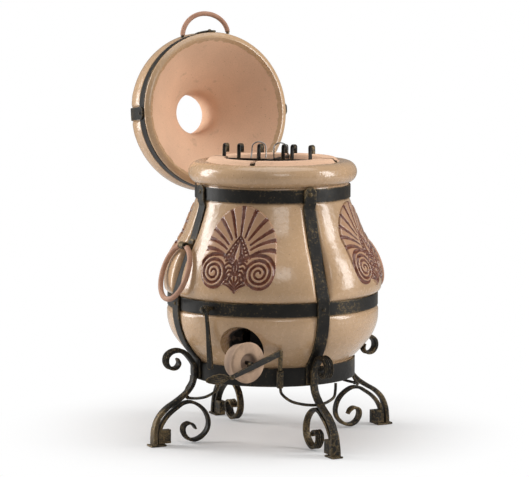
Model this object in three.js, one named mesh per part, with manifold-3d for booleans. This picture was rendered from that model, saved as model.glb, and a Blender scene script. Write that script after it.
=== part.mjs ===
// A clay tandoor oven: a glazed pot in a riveted wrought-iron cage on four scrolled legs, with a
// hinged clay lid, wrapped ring handles, a swinging clay plug for the air inlet, its latch,
// a fire grate and a skewer hanger in the mouth. Millimetres, +Z up, front strap towards -Y,
// lid hinge towards +Y. The pot's axis is x = 0, y = 0 until the last lines, which centre the
// whole oven on its own bounding box.
import * as THREE from 'three';
import { mergeVertices } from 'three/addons/utils/BufferGeometryUtils.js';
import Module from 'manifold-3d';

const wasm = await Module();
wasm.setup();

const { PI, abs, asin, cos, hypot, max, min, round, sign, sin, sqrt } = Math;
const degrees = PI / 180;
const quarter = PI / 2;

// ---------------------------------------------------------------- driving dimensions
const gap = 0.3; // between pieces that touch
const flatThick = 4; // flat bar of the bands
const strapThick = 5;
const strapWidth = 30;
const rivetRadius = 5;

const lowerBand = { radius: 182, low: 142, high: 184 }; // inner radius and edges of each band
const midBand = { radius: 233.3, low: 302, high: 332 };
const topBand = { radius: 171, low: 543, high: 573 };

const floorThick = 42; // clay under the fire
const floorRadius = 150; // where the inside turns up from the floor
const wallThick = 45;
const wallTaper = 3; // extra thickness of the shoulder
const mouthRadius = 108;
const collarRadius = 164.5; // centre circle of the rolled collar
const collarRoll = 24.5;
const collarHeight = topBand.high + collarRoll + 3;
const lipHeight = 632;
const lipRadius = 141;
const edgeRound = 9; // soft edge of the raised clay panels

const reliefHeight = 4; // palmette above its panel
const reliefSink = 6; // palmette's back, deeper than the panel's facets
const reliefFacet = 24; // longest edge that still follows the panel
const reliefTolerance = 0.4; // least bend of the relief that keeps its own facets
const flatTolerance = 0.05; // least bend of the pot that keeps its own facets
const ornamentTurn = -2.2 * degrees; // off the middle of its panel
const petalCut = 4.5; // width of a cut between petals
const volute = { x: 49.5, z: 396, inner: 7, outer: 29, turns: 1.5, steps: 8, cut: 4 };

const lidOpening = 96.1; // degrees from closed back to its stop
const lidSeatRadius = 171;
const lidSeatDrop = 8; // seat edge below the rim
const hoopRadius = 180.8;
const hoopLow = 3;
const hoopHigh = 28;
const lidHeight = 180;
const ventRadius = 50;
const ventThroat = 112; // height of the inner edge of the vent above the rim
const crownRadius = 93.5; // ring round the lid's neck
const crownLow = 155;
const crownHigh = 167;
const hinge = { y: topBand.radius + 13.5, z: topBand.low + 3.7 }; // lid hinge axis, along X
const knuckleRadius = 6;
const pinRadius = 3;
const runningGap = 0.5; // radial, round pins and rings

const ringRadius = 62; // centre line of a side ring
const ringRod = 4;
const wrapThick = 2;
const ringLean = 19.5; // degrees out from plumb at rest
const barrelHeight = 444;
const barrelStandoff = 18.3; // centre line of the barrel from the strap's face
const barrelRadius = 8.5;
const barrelLength = 24;

const inletAngle = -45 * degrees; // measured from the front strap towards +X
const inletHeight = 228;
const inletRadius = 45.5;
const inletTaper = 0.22;
const plugThick = 42;
const plugClear = 2.6;
const plugBevel = 5;
const plugSink = 5.2; // outer face inside the pot's skin
const dishRadius = 22; // hollow in the plug's outer face
const dishDepth = 9;

const hingePost = { angle: -23 * degrees, radius: 217.5, height: 165, lean: 12 * degrees };
const postRod = 4;
const socketRadius = 7.5;
const socketHalf = 19;
const elbowRise = 61; // elbow of the arm above the post's reference point
const armReach = 146; // elbow to ball
const armHeight = 14;
const armThick = 4;
const ballRadius = 6;
const leafWidth = 22;
const damperOpen = 56; // degrees open at rest

const latchAngle = -61 * degrees;
const latchHeight = (midBand.low + midBand.high) / 2 + 1;
const studRadius = 4.5;
const latchStandoff = 258.5;
const latchLength = 134;
const rosetteRadius = 10;

const legThick = 10;
const legWidth = 17;
const scrollThick = 7.5;
const padThick = 5;
const padWidth = 26;
const legFoot = 295; // centre line of a leg at the floor
const padToe = 13; // pad beyond the leg's centre line, and behind it
const padHeel = 25;
const braceRadius = 3.3;
const braceSpread = 22 * degrees; // each side of a leg, on the lower band
const crossWidth = 30;
const crossThick = 5;

const grateRadius = 96;
const grateThick = 10;
const grateLegs = 60;

const notchWidth = 12; // notches in the lip for the hanger's bars
const hangerWidth = 8;
const hangerThick = 5;
const hangerHeight = lipHeight - 9; // underside of the bars, in their notches
const hangerReach = 149;
const hookRise = 34;
const hookWidth = 10;
const hookThick = 3;

// ---------------------------------------------------------------- materials
const finish = (color, roughness, metalness = 0) => () =>
  new THREE.MeshStandardMaterial({ color, roughness, metalness });
const glaze = finish(0xc8aa87, 0.25);
const clay = finish(0xcda58c, 0.85);
const iron = finish(0x2a2621, 0.5, 0.8);
const steel = finish(0x4a4744, 0.35, 0.9);
const wrap = finish(0xaf8269, 0.8);

// ---------------------------------------------------------------- mesh tools
// Merges shared corners, drops collapsed triangles and turns the faces outwards.
function sealed(geometry) {
  const bare = new THREE.BufferGeometry();
  bare.setAttribute('position', geometry.getAttribute('position').clone());
  bare.setIndex(geometry.index ? [...geometry.index.array] : null);
  const merged = mergeVertices(bare, 1e-3);
  const at = merged.getAttribute('position');
  const corners = merged.index.array;
  const kept = [];
  let volume = 0;
  const [a, b, c] = [0, 1, 2].map(() => new THREE.Vector3());
  for (let i = 0; i < corners.length; i += 3) {
    const [p, q, r] = [corners[i], corners[i + 1], corners[i + 2]];
    if (p === q || q === r || r === p) continue;
    kept.push(p, q, r);
    a.fromBufferAttribute(at, p);
    b.fromBufferAttribute(at, q);
    c.fromBufferAttribute(at, r);
    volume += a.dot(b.cross(c));
  }
  merged.setIndex(volume < 0 ? kept.reverse() : kept);
  return merged;
}

function toSolid(geometry) {
  const mesh = sealed(geometry);
  return new wasm.Manifold(new wasm.Mesh({
    numProp: 3,
    vertProperties: new Float32Array(mesh.getAttribute('position').array),
    triVerts: new Uint32Array(mesh.index.array),
  }));
}

function toGeometry(solid) {
  const mesh = solid.getMesh();
  const geometry = new THREE.BufferGeometry();
  geometry.setAttribute('position', new THREE.BufferAttribute(mesh.vertProperties, 3));
  geometry.setIndex(new THREE.BufferAttribute(mesh.triVerts, 1));
  return geometry;
}

const join = (first, ...rest) =>
  toGeometry(rest.reduce((whole, part) => whole.add(toSolid(part)), toSolid(first)));
const cut = (first, ...rest) =>
  toGeometry(rest.reduce((whole, part) => whole.subtract(toSolid(part)), toSolid(first)));

// Joins rings of points into a closed skin: with end caps, or round in a loop.
function loft(rings, loop = false) {
  const size = rings[0].length;
  const index = [];
  const spans = loop ? rings.length : rings.length - 1;
  for (let i = 0; i < spans; i++) {
    const here = i * size;
    const next = ((i + 1) % rings.length) * size;
    for (let j = 0; j < size; j++) {
      const k = (j + 1) % size;
      index.push(here + j, here + k, next + k, here + j, next + k, next + j);
    }
  }
  if (!loop) {
    const last = (rings.length - 1) * size;
    for (let j = 1; j < size - 1; j++) {
      index.push(0, j + 1, j, last, last + j, last + j + 1);
    }
  }
  const geometry = new THREE.BufferGeometry().setFromPoints(rings.flat());
  geometry.setIndex(index);
  return sealed(geometry);
}

// A point at radius u from the pot's axis in the front plane, z up, x to the side.
const at = (u, z, x = 0) => new THREE.Vector3(x, -u, z);

const turned = (point, angle) => point.applyAxisAngle(new THREE.Vector3(0, 0, 1), angle);

// A curve through [u, z] points, as evenly spaced points.
const curve = (points, steps) =>
  new THREE.SplineCurve(points.map(([u, z]) => new THREE.Vector2(u, z))).getSpacedPoints(steps);

// A rectangular bar along points of the front plane. thick and wide are numbers, or functions
// of the share of the way along.
function bar(points, thick, wide) {
  const value = (size, t) => (typeof size === 'function' ? size(t) : size);
  const rings = points.map((here, i) => {
    const before = points[max(i - 1, 0)];
    const after = points[min(i + 1, points.length - 1)];
    const along = new THREE.Vector2(after.x - before.x, after.y - before.y).normalize();
    const t = i / (points.length - 1);
    const h = value(thick, t) / 2;
    const w = value(wide, t) / 2;
    return [[h, w], [h, -w], [-h, -w], [-h, w]].map(([n, x]) =>
      at(here.x - along.y * n, here.y + along.x * n, x));
  });
  return loft(rings);
}

// A strip whose back follows [u, z] points exactly and whose face stands off by its thickness.
function strip(back, thick, wide) {
  const rings = back.map(([u, z], i) => {
    const [u0, z0] = back[max(i - 1, 0)];
    const [u1, z1] = back[min(i + 1, back.length - 1)];
    const length = hypot(u1 - u0, z1 - z0);
    const turn = z1 > z0 ? 1 : -1;
    const [nu, nz] = [turn * (z1 - z0) / length, -turn * (u1 - u0) / length];
    const face = [u + nu * thick, z + nz * thick];
    return [at(u, z, wide / 2), at(u, z, -wide / 2),
      at(...face, -wide / 2), at(...face, wide / 2)];
  });
  return loft(rings);
}

// A round rod through 3-D points.
function rod(points, radius, sides = 6) {
  const axis = new THREE.Vector3();
  const side = new THREE.Vector3();
  const up = new THREE.Vector3();
  const reference = new THREE.Vector3().subVectors(points.at(-1), points[0]);
  const hint = abs(reference.z) > 0.9 * reference.length()
    ? new THREE.Vector3(1, 0, 0) : new THREE.Vector3(0, 0, 1);
  const rings = points.map((here, i) => {
    const before = points[max(i - 1, 0)];
    const after = points[min(i + 1, points.length - 1)];
    axis.subVectors(after, before).normalize();
    side.crossVectors(axis, i ? up : hint).normalize();
    up.crossVectors(side, axis).normalize();
    return Array.from({ length: sides }, (_, k) => {
      const angle = (k + 0.5) * 2 * PI / sides;
      return here.clone().addScaledVector(side, radius * cos(angle))
        .addScaledVector(up, radius * sin(angle));
    });
  });
  return loft(rings);
}

// A box between corners of the front plane: u and z ranges, x centred on the plane.
function block([u0, u1], [z0, z1], wide, x = 0) {
  const box = new THREE.BoxGeometry(wide, u1 - u0, z1 - z0);
  return box.translate(x, -(u0 + u1) / 2, (z0 + z1) / 2);
}

// A cylinder that points away from the pot's axis, from radius u0 to u1 at height z.
const peg = (radius, [u0, u1], z, x = 0, sides = 12, outerRadius = radius) =>
  new THREE.CylinderGeometry(radius, outerRadius, u1 - u0, sides)
    .translate(0, -(u0 + u1) / 2, 0).translate(x, 0, z);

const acrossAxis = (geometry) => geometry.rotateZ(quarter); // a cylinder's axis from Y to X

// ---------------------------------------------------------------- the assembly
const tandoor = new THREE.Group();

// Adds a named piece, turned round the pot's axis by an angle from the front strap.
function piece(name, geometry, material, { angle = 0, parent = tandoor } = {}) {
  const skin = sealed(geometry);
  skin.computeVertexNormals();
  const mesh = new THREE.Mesh(skin, material());
  mesh.name = name;
  mesh.rotation.z = angle;
  parent.add(mesh);
  return mesh;
}

const sides = [
  { name: 'front', angle: 0 },
  { name: 'right', angle: quarter },
  { name: 'back', angle: 2 * quarter },
  { name: 'left', angle: -quarter },
];

// ---------------------------------------------------------------- straps of the cage
const lapStrap = lowerBand.radius + flatThick + gap;
const midLap = midBand.radius + flatThick + gap;
const topLap = topBand.radius + flatThick + gap;
const strapFoot = lowerBand.low + 4;
const strapTop = topBand.high + 4;

// Back of a strap from foot to top, [radius, height]; each height is also a row of the pot.
const strapBack = [
  [lapStrap, strapFoot], [lapStrap, lowerBand.high + 1], [195, 198], [209, 216], [222, 237],
  [231, 261], [235.5, 280], [midLap, midBand.low - 3], [midLap, midBand.high + 3],
  [234, 346], [226, 368], [212, 406], [197.5, 445], [184, 487], [175, 517], [172, 529],
  [172.6, 536], [173.9, 539], [topLap, topBand.low - 1], [topLap, strapTop],
];

// Linear reading of a [radius, height] list, and its slope.
function reader(list) {
  const span = (z) => {
    const i = list.findIndex(([, high], k) => k > 0 && z <= high);
    return i < 0 ? list.length - 1 : max(i, 1);
  };
  const slope = (z) => {
    const i = span(z);
    return (list[i][0] - list[i - 1][0]) / (list[i][1] - list[i - 1][1]);
  };
  const read = (z) => {
    const i = span(z);
    return list[i][0] + (z - list[i][1]) * slope(z);
  };
  return { read, slope };
}

// Clips both corners of a strap's end with boxes on edge, centred at radius u and height z.
const clipSide = 14;
const clipReach = 1.5; // centre of the box beyond the strap's edge, and beyond its top end
function clipped(strap, u, z) {
  const corner = (way) => new THREE.BoxGeometry(clipSide, 6 * strapThick, clipSide)
    .rotateY(45 * degrees).translate(way * (strapWidth / 2 + clipReach), -u, z);
  return cut(strap, corner(1), corner(-1));
}

for (const { name, angle } of sides) {
  const back = name === 'back';
  const route = strapBack.filter(([, z]) => !back || z < topBand.low - 2);
  const strap = strip(route, strapThick, strapWidth);
  const shape = back ? strap : clipped(strap, topLap, strapTop + clipReach);
  piece(`strap_${name}`, shape, iron, { angle });
}

// ---------------------------------------------------------------- clay with four grooves
// Angles of the columns round one quarter, symmetric about the strap at its start.
const grooveHalf = strapWidth / 2 + 1;
const flankSteps = [0, 3, 14]; // out from the groove's edge
const spread = 3; // further columns, evenly spaced up to the middle of the panel
const flankRise = [0, 0.6, 0.9, 0.97, 0.99, 1];
const halfCount = flankSteps.length + spread;

function column(j, radius) {
  if (j === 0) return 0;
  const flank = (k) => (grooveHalf + flankSteps[k]) / max(radius, 100);
  if (j <= flankSteps.length) return flank(j - 1);
  const last = flank(flankSteps.length - 1);
  return last + (quarter / 2 - last) * (j - flankSteps.length) / spread;
}

const columnCount = 8 * halfCount;

// Angle of column i of the whole circle at a radius, and its angle and step out from the strap.
function columnAt(i, radius) {
  const home = round(i / (2 * halfCount));
  const step = abs(i - home * 2 * halfCount);
  const off = column(step, radius);
  return { angle: home * quarter + sign(i - home * 2 * halfCount) * off, off, step };
}

// A fired-clay body from rows of { z, u, seat }: u is the panel's radius, seat the flat bed of
// the strap. Rows without a seat are round.
function pottery(rows) {
  const rings = Array.from({ length: columnCount }, (_, i) => rows.map(({ z, u, seat = u }) => {
    const bed = min(seat, u);
    const { angle, off, step } = columnAt(i, bed);
    const groove = step < 2 ? bed / cos(off) : bed + (u - bed) * flankRise[step - 1];
    return turned(at(bed < u ? groove : u, z), angle);
  }));
  return loft(rings, true);
}

// A flat hoop whose corners stand on the same columns as the clay inside it.
function hoop(radius, thick, low, high) {
  const rings = Array.from({ length: columnCount }, (_, i) => {
    const { angle } = columnAt(i, radius);
    return [[radius, low], [radius + thick, low], [radius + thick, high], [radius, high]]
      .map(([u, z]) => turned(at(u, z), angle));
  });
  return loft(rings, true);
}

// ---------------------------------------------------------------- pot
const potBase = lowerBand.low + crossThick + gap;
const bedOf = reader(strapBack);
const strapBed = (z) => bedOf.read(z) - gap * hypot(1, bedOf.slope(z));

// Smooth reading of a panel's outline.
const faceOf = (points) => reader(new THREE.SplineCurve(points.map(([u, z]) =>
  new THREE.Vector2(u, z))).getPoints(40).map(({ x, y }) => [x, y]));

// Raised clay panel between two band seats, as rows from low to high.
function panel(face, low, high, lowSeat, highSeat) {
  const inside = strapBack.map(([, z]) => z).filter((z) => z > low + 1 && z < high - 1);
  const heights = [low, low + 1.5, ...inside, high - 1.5, high];
  return [...new Set(heights)].sort((a, b) => a - b).map((z) => {
    const edge = min(z - low, high - z);
    const rise = sqrt(1 - (1 - min(edge / edgeRound, 1)) ** 2);
    const seat = z - low < high - z ? lowSeat : highSeat;
    return { z, u: seat + (face.read(z) - seat) * rise, seat: strapBed(z) };
  });
}

const lowerPanel = [[183, 186], [206, 211], [225.5, 237], [236, 265], [238, 290], [236.5, 300]];
const upperPanel = [[243, 334], [245, 356], [240.5, 386], [230, 415], [215, 441], [199.5, 468],
  [187.5, 498], [178, 524], [173, 542]];
const lowerFace = faceOf(lowerPanel);
const upperFace = faceOf(upperPanel);
const lowerSeat = lowerBand.radius - gap;
const midSeat = midBand.radius - gap;
const topSeat = topBand.radius - gap;

const collar = Array.from({ length: 9 }, (_, i) => {
  const angle = (-78 + 19.5 * i) * degrees;
  return { z: collarHeight + collarRoll * sin(angle), u: collarRadius + collarRoll * cos(angle) };
});
const collarTop = collarHeight + collarRoll;
const potFloor = potBase + floorThick;

const potRows = [
  { z: potBase, u: 0 },
  { z: potBase, u: lowerSeat - 6 },
  { z: potBase + 6, u: lowerSeat },
  { z: lowerBand.high + 0.5, u: lowerSeat },
  ...panel(lowerFace, lowerBand.high + 1, midBand.low - 1, lowerSeat, midSeat),
  ...panel(upperFace, midBand.high + 1, topBand.low - 1, midSeat, topSeat),
  { z: topBand.high + 0.5, u: topSeat },
  ...collar,
  { z: collarTop - 2.5, u: lipRadius + 10 },
  { z: lipHeight - 2, u: lipRadius + 1 },
  { z: lipHeight, u: lipRadius - 2 },
  { z: lipHeight, u: mouthRadius + 3 },
  { z: lipHeight - 3, u: mouthRadius },
  { z: collarHeight, u: mouthRadius + 2 },
  { z: topBand.low, u: topBand.radius - wallThick },
  ...[470, 400].map((z) => ({ z, u: upperFace.read(z) - wallThick - wallTaper })),
  { z: midBand.high + 8, u: upperFace.read(midBand.high + 8) - wallThick },
  ...[280, 235].map((z) => ({ z, u: lowerFace.read(z) - wallThick })),
  { z: potFloor + 8, u: floorRadius },
  { z: potFloor, u: floorRadius - 22 },
  { z: potFloor, u: 0 },
];

// Air inlet: a hole through the wall that narrows inwards, along its own radius.
const skinAtInlet = reader(lowerPanel).read(inletHeight);
const plugFace = skinAtInlet - plugSink;
const inletCone = (radius, [u0, u1], z) =>
  peg(radius - (u1 - u0) * inletTaper, [u0, u1], z, 0, 32, radius);
const inletHole = inletCone(inletRadius + plugClear + 40 * inletTaper,
  [plugFace - 90, plugFace + 40], inletHeight).rotateZ(inletAngle);

const notch = (turn) =>
  block([mouthRadius - 10, lipRadius + 20], [hangerHeight - gap, lipHeight + 5], notchWidth)
    .rotateZ(turn * quarter + quarter / 2);

// ---------------------------------------------------------------- palmettes
// Relief pressed on each upper panel: twelve petals over two volutes and a bud. Points are
// [arc length from the ornament's middle, height]; half is given, and the other half mirrored.
const fanEdge = [[0, 538], [29, 530], [53, 512], [69.5, 489], [79, 465], [82, 443], [87.5, 415],
  [87, 398], [76, 371], [52, 361.5], [31, 371], [20, 370], [0, 353.5]];
const petalCuts = [[[0, 545], [0, 473]], [[32, 540], [12, 470]], [[60, 519], [21, 465]],
  [[79, 493], [27, 455]], [[90, 467], [28, 449]], [[92, 443], [32, 436]]];
const voluteCut = Array.from({ length: round(volute.turns * volute.steps) + 1 }, (_, i) => {
  const share = i / (volute.turns * volute.steps);
  const angle = 165 * degrees + share * volute.turns * 2 * PI;
  const radius = volute.outer + (volute.inner - volute.outer) * share;
  return [volute.x + radius * cos(angle), volute.z - radius * sin(angle)];
});

const mirrored = (points) => points.map(([s, z]) => [-s, z]).reverse();

// Outline of a cut of even width along points.
function ribbon(points, width) {
  const edge = (way) => points.map(([s, z], i) => {
    const [s0, z0] = points[max(i - 1, 0)];
    const [s1, z1] = points[min(i + 1, points.length - 1)];
    const reach = way * width / (2 * hypot(s1 - s0, z1 - z0));
    return [s - (z1 - z0) * reach, z + (s1 - s0) * reach];
  });
  return [...edge(1), ...edge(-1).reverse()];
}

// The flat relief, bent on to the panel at an angle from the front strap.
function palmette(angle) {
  const region = (outlines) => new wasm.CrossSection(outlines, 'NonZero');
  const fan = region([[...fanEdge, ...mirrored(fanEdge).slice(1, -1)]]);
  const halves = [...petalCuts.map((line) => ribbon(line, petalCut)),
    ribbon(voluteCut, volute.cut)];
  const flat = fan.subtract(region(halves)).subtract(region(halves.map(mirrored)));
  const slab = flat.extrude(reliefSink + reliefHeight).refineToLength(reliefFacet);
  return toGeometry(slab.warp((corner) => {
    const [s, z, rise] = corner;
    const face = upperFace.read(z);
    const turn = angle + s / face;
    corner[0] = (face - reliefSink + rise) * sin(turn);
    corner[1] = -(face - reliefSink + rise) * cos(turn);
    corner[2] = z;
  }).simplify(reliefTolerance));
}

const ornaments = [0, 1, 2, 3].map((turn) => palmette((turn + 0.5) * quarter + ornamentTurn));
const potBody = join(pottery(potRows), ...ornaments);
const potCut = cut(potBody, inletHole, ...[0, 1, 2, 3].map(notch));
piece('pot', toGeometry(toSolid(potCut).simplify(flatTolerance)), glaze);

// ---------------------------------------------------------------- bands and rivets
piece('band_lower', hoop(lowerBand.radius, flatThick, lowerBand.low, lowerBand.high), iron);
piece('band_middle', hoop(midBand.radius, flatThick, midBand.low, midBand.high), iron);
piece('band_top', hoop(topBand.radius, flatThick, topBand.low, topBand.high), iron);

function rivet(name, u, z, angle, parent) {
  const head = new THREE.SphereGeometry(rivetRadius, 8, 3, 0, 2 * PI, 0, quarter)
    .scale(1, 0.6, 1);
  const base = new THREE.CircleGeometry(rivetRadius, 8).rotateX(quarter);
  const points = [...head.toNonIndexed().getAttribute('position').array,
    ...base.toNonIndexed().getAttribute('position').array];
  const dome = new THREE.BufferGeometry()
    .setAttribute('position', new THREE.Float32BufferAttribute(points, 3));
  piece(name, dome.rotateX(PI).translate(0, -u, z), iron, { angle, parent });
}

const midRivetLap = midLap + strapThick + gap;
const topRivetLap = topLap + strapThick + gap;
const topRivetDrop = 12; // below the top band's upper edge
for (const { name, angle } of sides) {
  rivet(`rivet_middle_${name}`, midRivetLap, (midBand.low + midBand.high) / 2, angle);
  if (name !== 'back') {
    rivet(`rivet_top_${name}`, topRivetLap, topBand.high - topRivetDrop, angle);
  }
}

// ---------------------------------------------------------------- legs, scrolls and braces
const legBack = lapStrap + strapThick + gap;
const legLine = legBack + legThick / 2;
const legPath = [
  [238, 193], [234, 182], [242, 172], [256, 173], [265, 184], [264, 199], [252, 209], [234, 211],
  [219, 204], [206.5, 190], [legLine + 1.2, 176], [legLine, 160], [legLine + 1, 144], [204, 128],
  [219, 112], [241, 97], [265, 83], [284, 64], [legFoot - 2, 41], [legFoot, 20],
  [legFoot, padThick - 2],
];
const scrollPath = [
  [283.5, padThick + gap], [283.4, 20], [281, 37], [272.5, 54], [259, 69], [241, 82], [223, 92],
  [204, 93], [184, 83], [169, 67], [162, 46], [166, 27], [181, 12.5], [199, 7], [215, 13],
  [224, 27], [223, 40], [212, 46], [201, 42], [194, 32],
];
const scrollBlock = { inner: 256, outer: 282, low: padThick + gap, high: 36 };
const waist = { u: 212.6, z: 103.7, radius: 4.6 }; // where a brace meets its leg

function brace() {
  const foot = lowerBand.radius + flatThick / 2;
  const end = { x: foot * sin(braceSpread), u: foot * cos(braceSpread) };
  const shape = [
    [end.u, lowerBand.low - gap - 1.2, end.x], [end.u + 3, 127, end.x - 2], [190, 113, 54],
    [202, 106, 32], [waist.u - 2, waist.z, 12],
  ];
  const side = (way) => shape.map(([u, z, x]) => at(u, z, way * x));
  const route = [...side(-1), at(waist.u, waist.z), ...side(1).reverse()];
  const line = new THREE.CatmullRomCurve3(route).getSpacedPoints(20);
  line[0] = route[0];
  const boss = new THREE.IcosahedronGeometry(waist.radius, 1).translate(0, -waist.u, waist.z);
  return join(rod(line, braceRadius), boss);
}

for (const { name, angle } of sides) {
  const leg = bar(curve(legPath, 40), (t) => legThick * min(1, 0.55 + 3 * t), legWidth);
  const pad = block([legFoot - padHeel, legFoot + padToe], [0, padThick], padWidth);
  piece(`leg_${name}`, join(leg, pad), iron, { angle });
  const curl = bar(curve(scrollPath, 34), (t) => scrollThick * min(1, 0.6 + 4 * (1 - t)),
    legWidth - 1);
  const end = block([scrollBlock.inner, scrollBlock.outer],
    [scrollBlock.low, scrollBlock.high], legWidth - 2);
  piece(`scroll_${name}`, join(curl, end), iron, { angle });
  piece(`brace_${name}`, brace(), iron, { angle });
}

// Flat cross that carries the pot inside the lower band.
const crossHalf = lowerBand.radius - gap - 0.8;
const crossBar = () => block([-crossHalf, crossHalf], [lowerBand.low, lowerBand.low + crossThick],
  crossWidth);
piece('base_cross', join(crossBar(), crossBar().rotateZ(quarter)), iron);

// ---------------------------------------------------------------- fire grate
const grateSlot = { pitch: 26, width: 11, reach: 0.85, short: 6 }; // short: of that reach
const grateFoot = { inner: grateRadius - 24, outer: grateRadius - 10, width: 10, lap: 2 };
function grate() {
  const disc = new THREE.CylinderGeometry(grateRadius, grateRadius, grateThick, 32)
    .rotateX(quarter).translate(0, 0, potFloor + gap + grateLegs + grateThick / 2);
  const slots = [-2, -1, 0, 1, 2].map((k) => {
    const half = grateSlot.reach * sqrt(grateRadius ** 2 - (k * grateSlot.pitch) ** 2);
    return new THREE.BoxGeometry(grateSlot.width, 2 * (half - grateSlot.short), grateThick * 3)
      .translate(k * grateSlot.pitch, 0, potFloor + grateLegs);
  });
  const feet = [0, 1, 2].map((k) => block([grateFoot.inner, grateFoot.outer],
    [potFloor + gap, potFloor + grateLegs + grateFoot.lap], grateFoot.width)
    .rotateZ(quarter / 2 + k * 2 * PI / 3));
  return join(cut(disc, ...slots), ...feet);
}
piece('fire_grate', grate(), iron);

// ---------------------------------------------------------------- side ring handles
// A round rod of radius r along part of a ring; angles run from the ring's top towards +X.
function arcRod(radius, r, from, to, steps, count) {
  const points = Array.from({ length: steps + 1 }, (_, i) => {
    const angle = from + (to - from) * i / steps;
    return new THREE.Vector3(radius * sin(angle), 0, radius * cos(angle));
  });
  return rod(points, r, count);
}

const eyePlateHalf = 13; // half the height of the eye's plate
const eyePlateThick = 3;
const eyeNeck = { below: 5, above: 4, lap: 2 }; // of the barrel's height, and into the barrel
const wrapShort = 3; // bare rod between the barrel's end and the wrap
const strapFaceAt = (z) => bedOf.read(z) + strapThick * hypot(1, bedOf.slope(z));
const eyePlate = [-eyePlateHalf, 0, eyePlateHalf].map((rise) => [
  strapFaceAt(barrelHeight + rise) + 2 * gap, barrelHeight + rise]);
const faceByTenths = round(10 * strapFaceAt(barrelHeight)) / 10; // to a tenth of a millimetre
const barrelLine = faceByTenths + barrelStandoff;
const ringBore = ringRod + (barrelLength / 2) ** 2 / (2 * ringRadius) + runningGap;

for (const { name, angle } of [sides[3], sides[1]]) {
  const tube = acrossAxis(new THREE.CylinderGeometry(barrelRadius, barrelRadius, barrelLength, 12));
  const bore = acrossAxis(new THREE.CylinderGeometry(ringBore, ringBore, barrelLength + 4, 12));
  const neck = block([eyePlate[0][0], barrelLine - barrelRadius + eyeNeck.lap],
    [barrelHeight - eyeNeck.below, barrelHeight + eyeNeck.above], barrelLength);
  const eye = cut(join(tube.translate(0, -barrelLine, barrelHeight),
    strip(eyePlate, eyePlateThick, barrelLength), neck),
  bore.translate(0, -barrelLine, barrelHeight));
  piece(`ring_eye_${name}`, eye, iron, { angle });

  const facing = new THREE.Group();
  facing.rotation.z = angle;
  tandoor.add(facing);
  const swing = new THREE.Group();
  swing.position.copy(at(barrelLine, barrelHeight));
  swing.rotation.x = -ringLean * degrees;
  facing.add(swing);
  const drop = -ringRadius + (barrelLength / 2) ** 2 / (4 * ringRadius);
  const torus = (r) => new THREE.TorusGeometry(ringRadius, r, 6, 28).rotateX(quarter);
  piece(`ring_${name}`, torus(ringRod).translate(0, 0, drop), iron, { parent: swing });
  const bare = asin((barrelLength / 2 + wrapShort) / ringRadius);
  const sleeve = arcRod(ringRadius, ringRod + wrapThick, bare, 2 * PI - bare, 26, 8);
  const wrapping = cut(sleeve, torus(ringRod + 1.2 * gap)).translate(0, 0, drop);
  piece(`ring_wrap_${name}`, wrapping, wrap, { parent: swing });
}

// ---------------------------------------------------------------- lid
const collarAt = (u) => collarHeight + sqrt(collarRoll ** 2 - (u - collarRadius) ** 2);
const lidRim = collarAt(lidSeatRadius) + gap + lidSeatDrop; // rim height when closed

const hinged = new THREE.Group();
hinged.position.set(0, hinge.y, hinge.z);
hinged.rotation.x = -lidOpening * degrees;
tandoor.add(hinged);
const lid = new THREE.Group(); // the lid's own frame: rim plane at z = 0, on the pot's axis
lid.position.set(0, -hinge.y, lidRim - hinge.z);
hinged.add(lid);
const onLid = { parent: lid };

const hoopSeat = hoopRadius - gap;
const lidSkin = [[184.5, 31], [188, 52], [184, 76], [168, 101], [143, 123], [116, 137],
  [99, 147], [crownRadius + 0.7, crownLow - 1.8]];
const strapSink = 3.5; // the lid's straps lie this deep in the clay
const lidStrapBack = lidSkin.map(([u, z]) => [u - strapSink, z]);
lidStrapBack[lidStrapBack.length - 1][0] = crownRadius + 0.4;
const lidStrapBed = (i) => {
  const [u0, z0] = lidStrapBack[max(i - 1, 0)];
  const [u1, z1] = lidStrapBack[min(i + 1, lidStrapBack.length - 1)];
  return lidStrapBack[i][0] - gap * hypot(1, (u1 - u0) / (z1 - z0)) - 0.2;
};
const dishSlope = (lidSeatRadius - ventRadius) / (ventThroat + lidSeatDrop);

const lidRows = [
  { z: -lidSeatDrop, u: lidSeatRadius },
  { z: -lidSeatDrop + 1.5, u: lidSeatRadius + 5 },
  { z: -1, u: hoopRadius + 3 },
  { z: hoopLow - 0.5, u: hoopRadius + 2.6 },
  { z: hoopLow - 0.4, u: hoopSeat },
  { z: hoopHigh + 0.4, u: hoopSeat },
  ...lidSkin.map(([u, z], i) => ({ z, u, seat: lidStrapBed(i) })),
  { z: crownLow - 0.5, u: crownRadius - gap },
  { z: crownHigh + 0.5, u: crownRadius - gap },
  { z: lidHeight - 8, u: crownRadius - 3 },
  { z: lidHeight - 1, u: crownRadius - 15 },
  { z: lidHeight, u: crownRadius - 22 },
  { z: lidHeight, u: ventRadius + 2 },
  { z: lidHeight - 3, u: ventRadius - 3 },
  { z: ventThroat + 8, u: ventRadius - 1 },
  { z: ventThroat - 3, u: ventRadius + 2 },
  { z: ventThroat - 12, u: ventRadius + 9 },
  { z: 40, u: lidSeatRadius - (40 + lidSeatDrop) * dishSlope },
];
piece('lid', pottery(lidRows), clay, onLid);
piece('lid_hoop', hoop(hoopRadius, flatThick, hoopLow, hoopHigh), iron, onLid);
piece('lid_crown_ring', hoop(crownRadius, flatThick, crownLow, crownHigh), iron, onLid);

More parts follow.
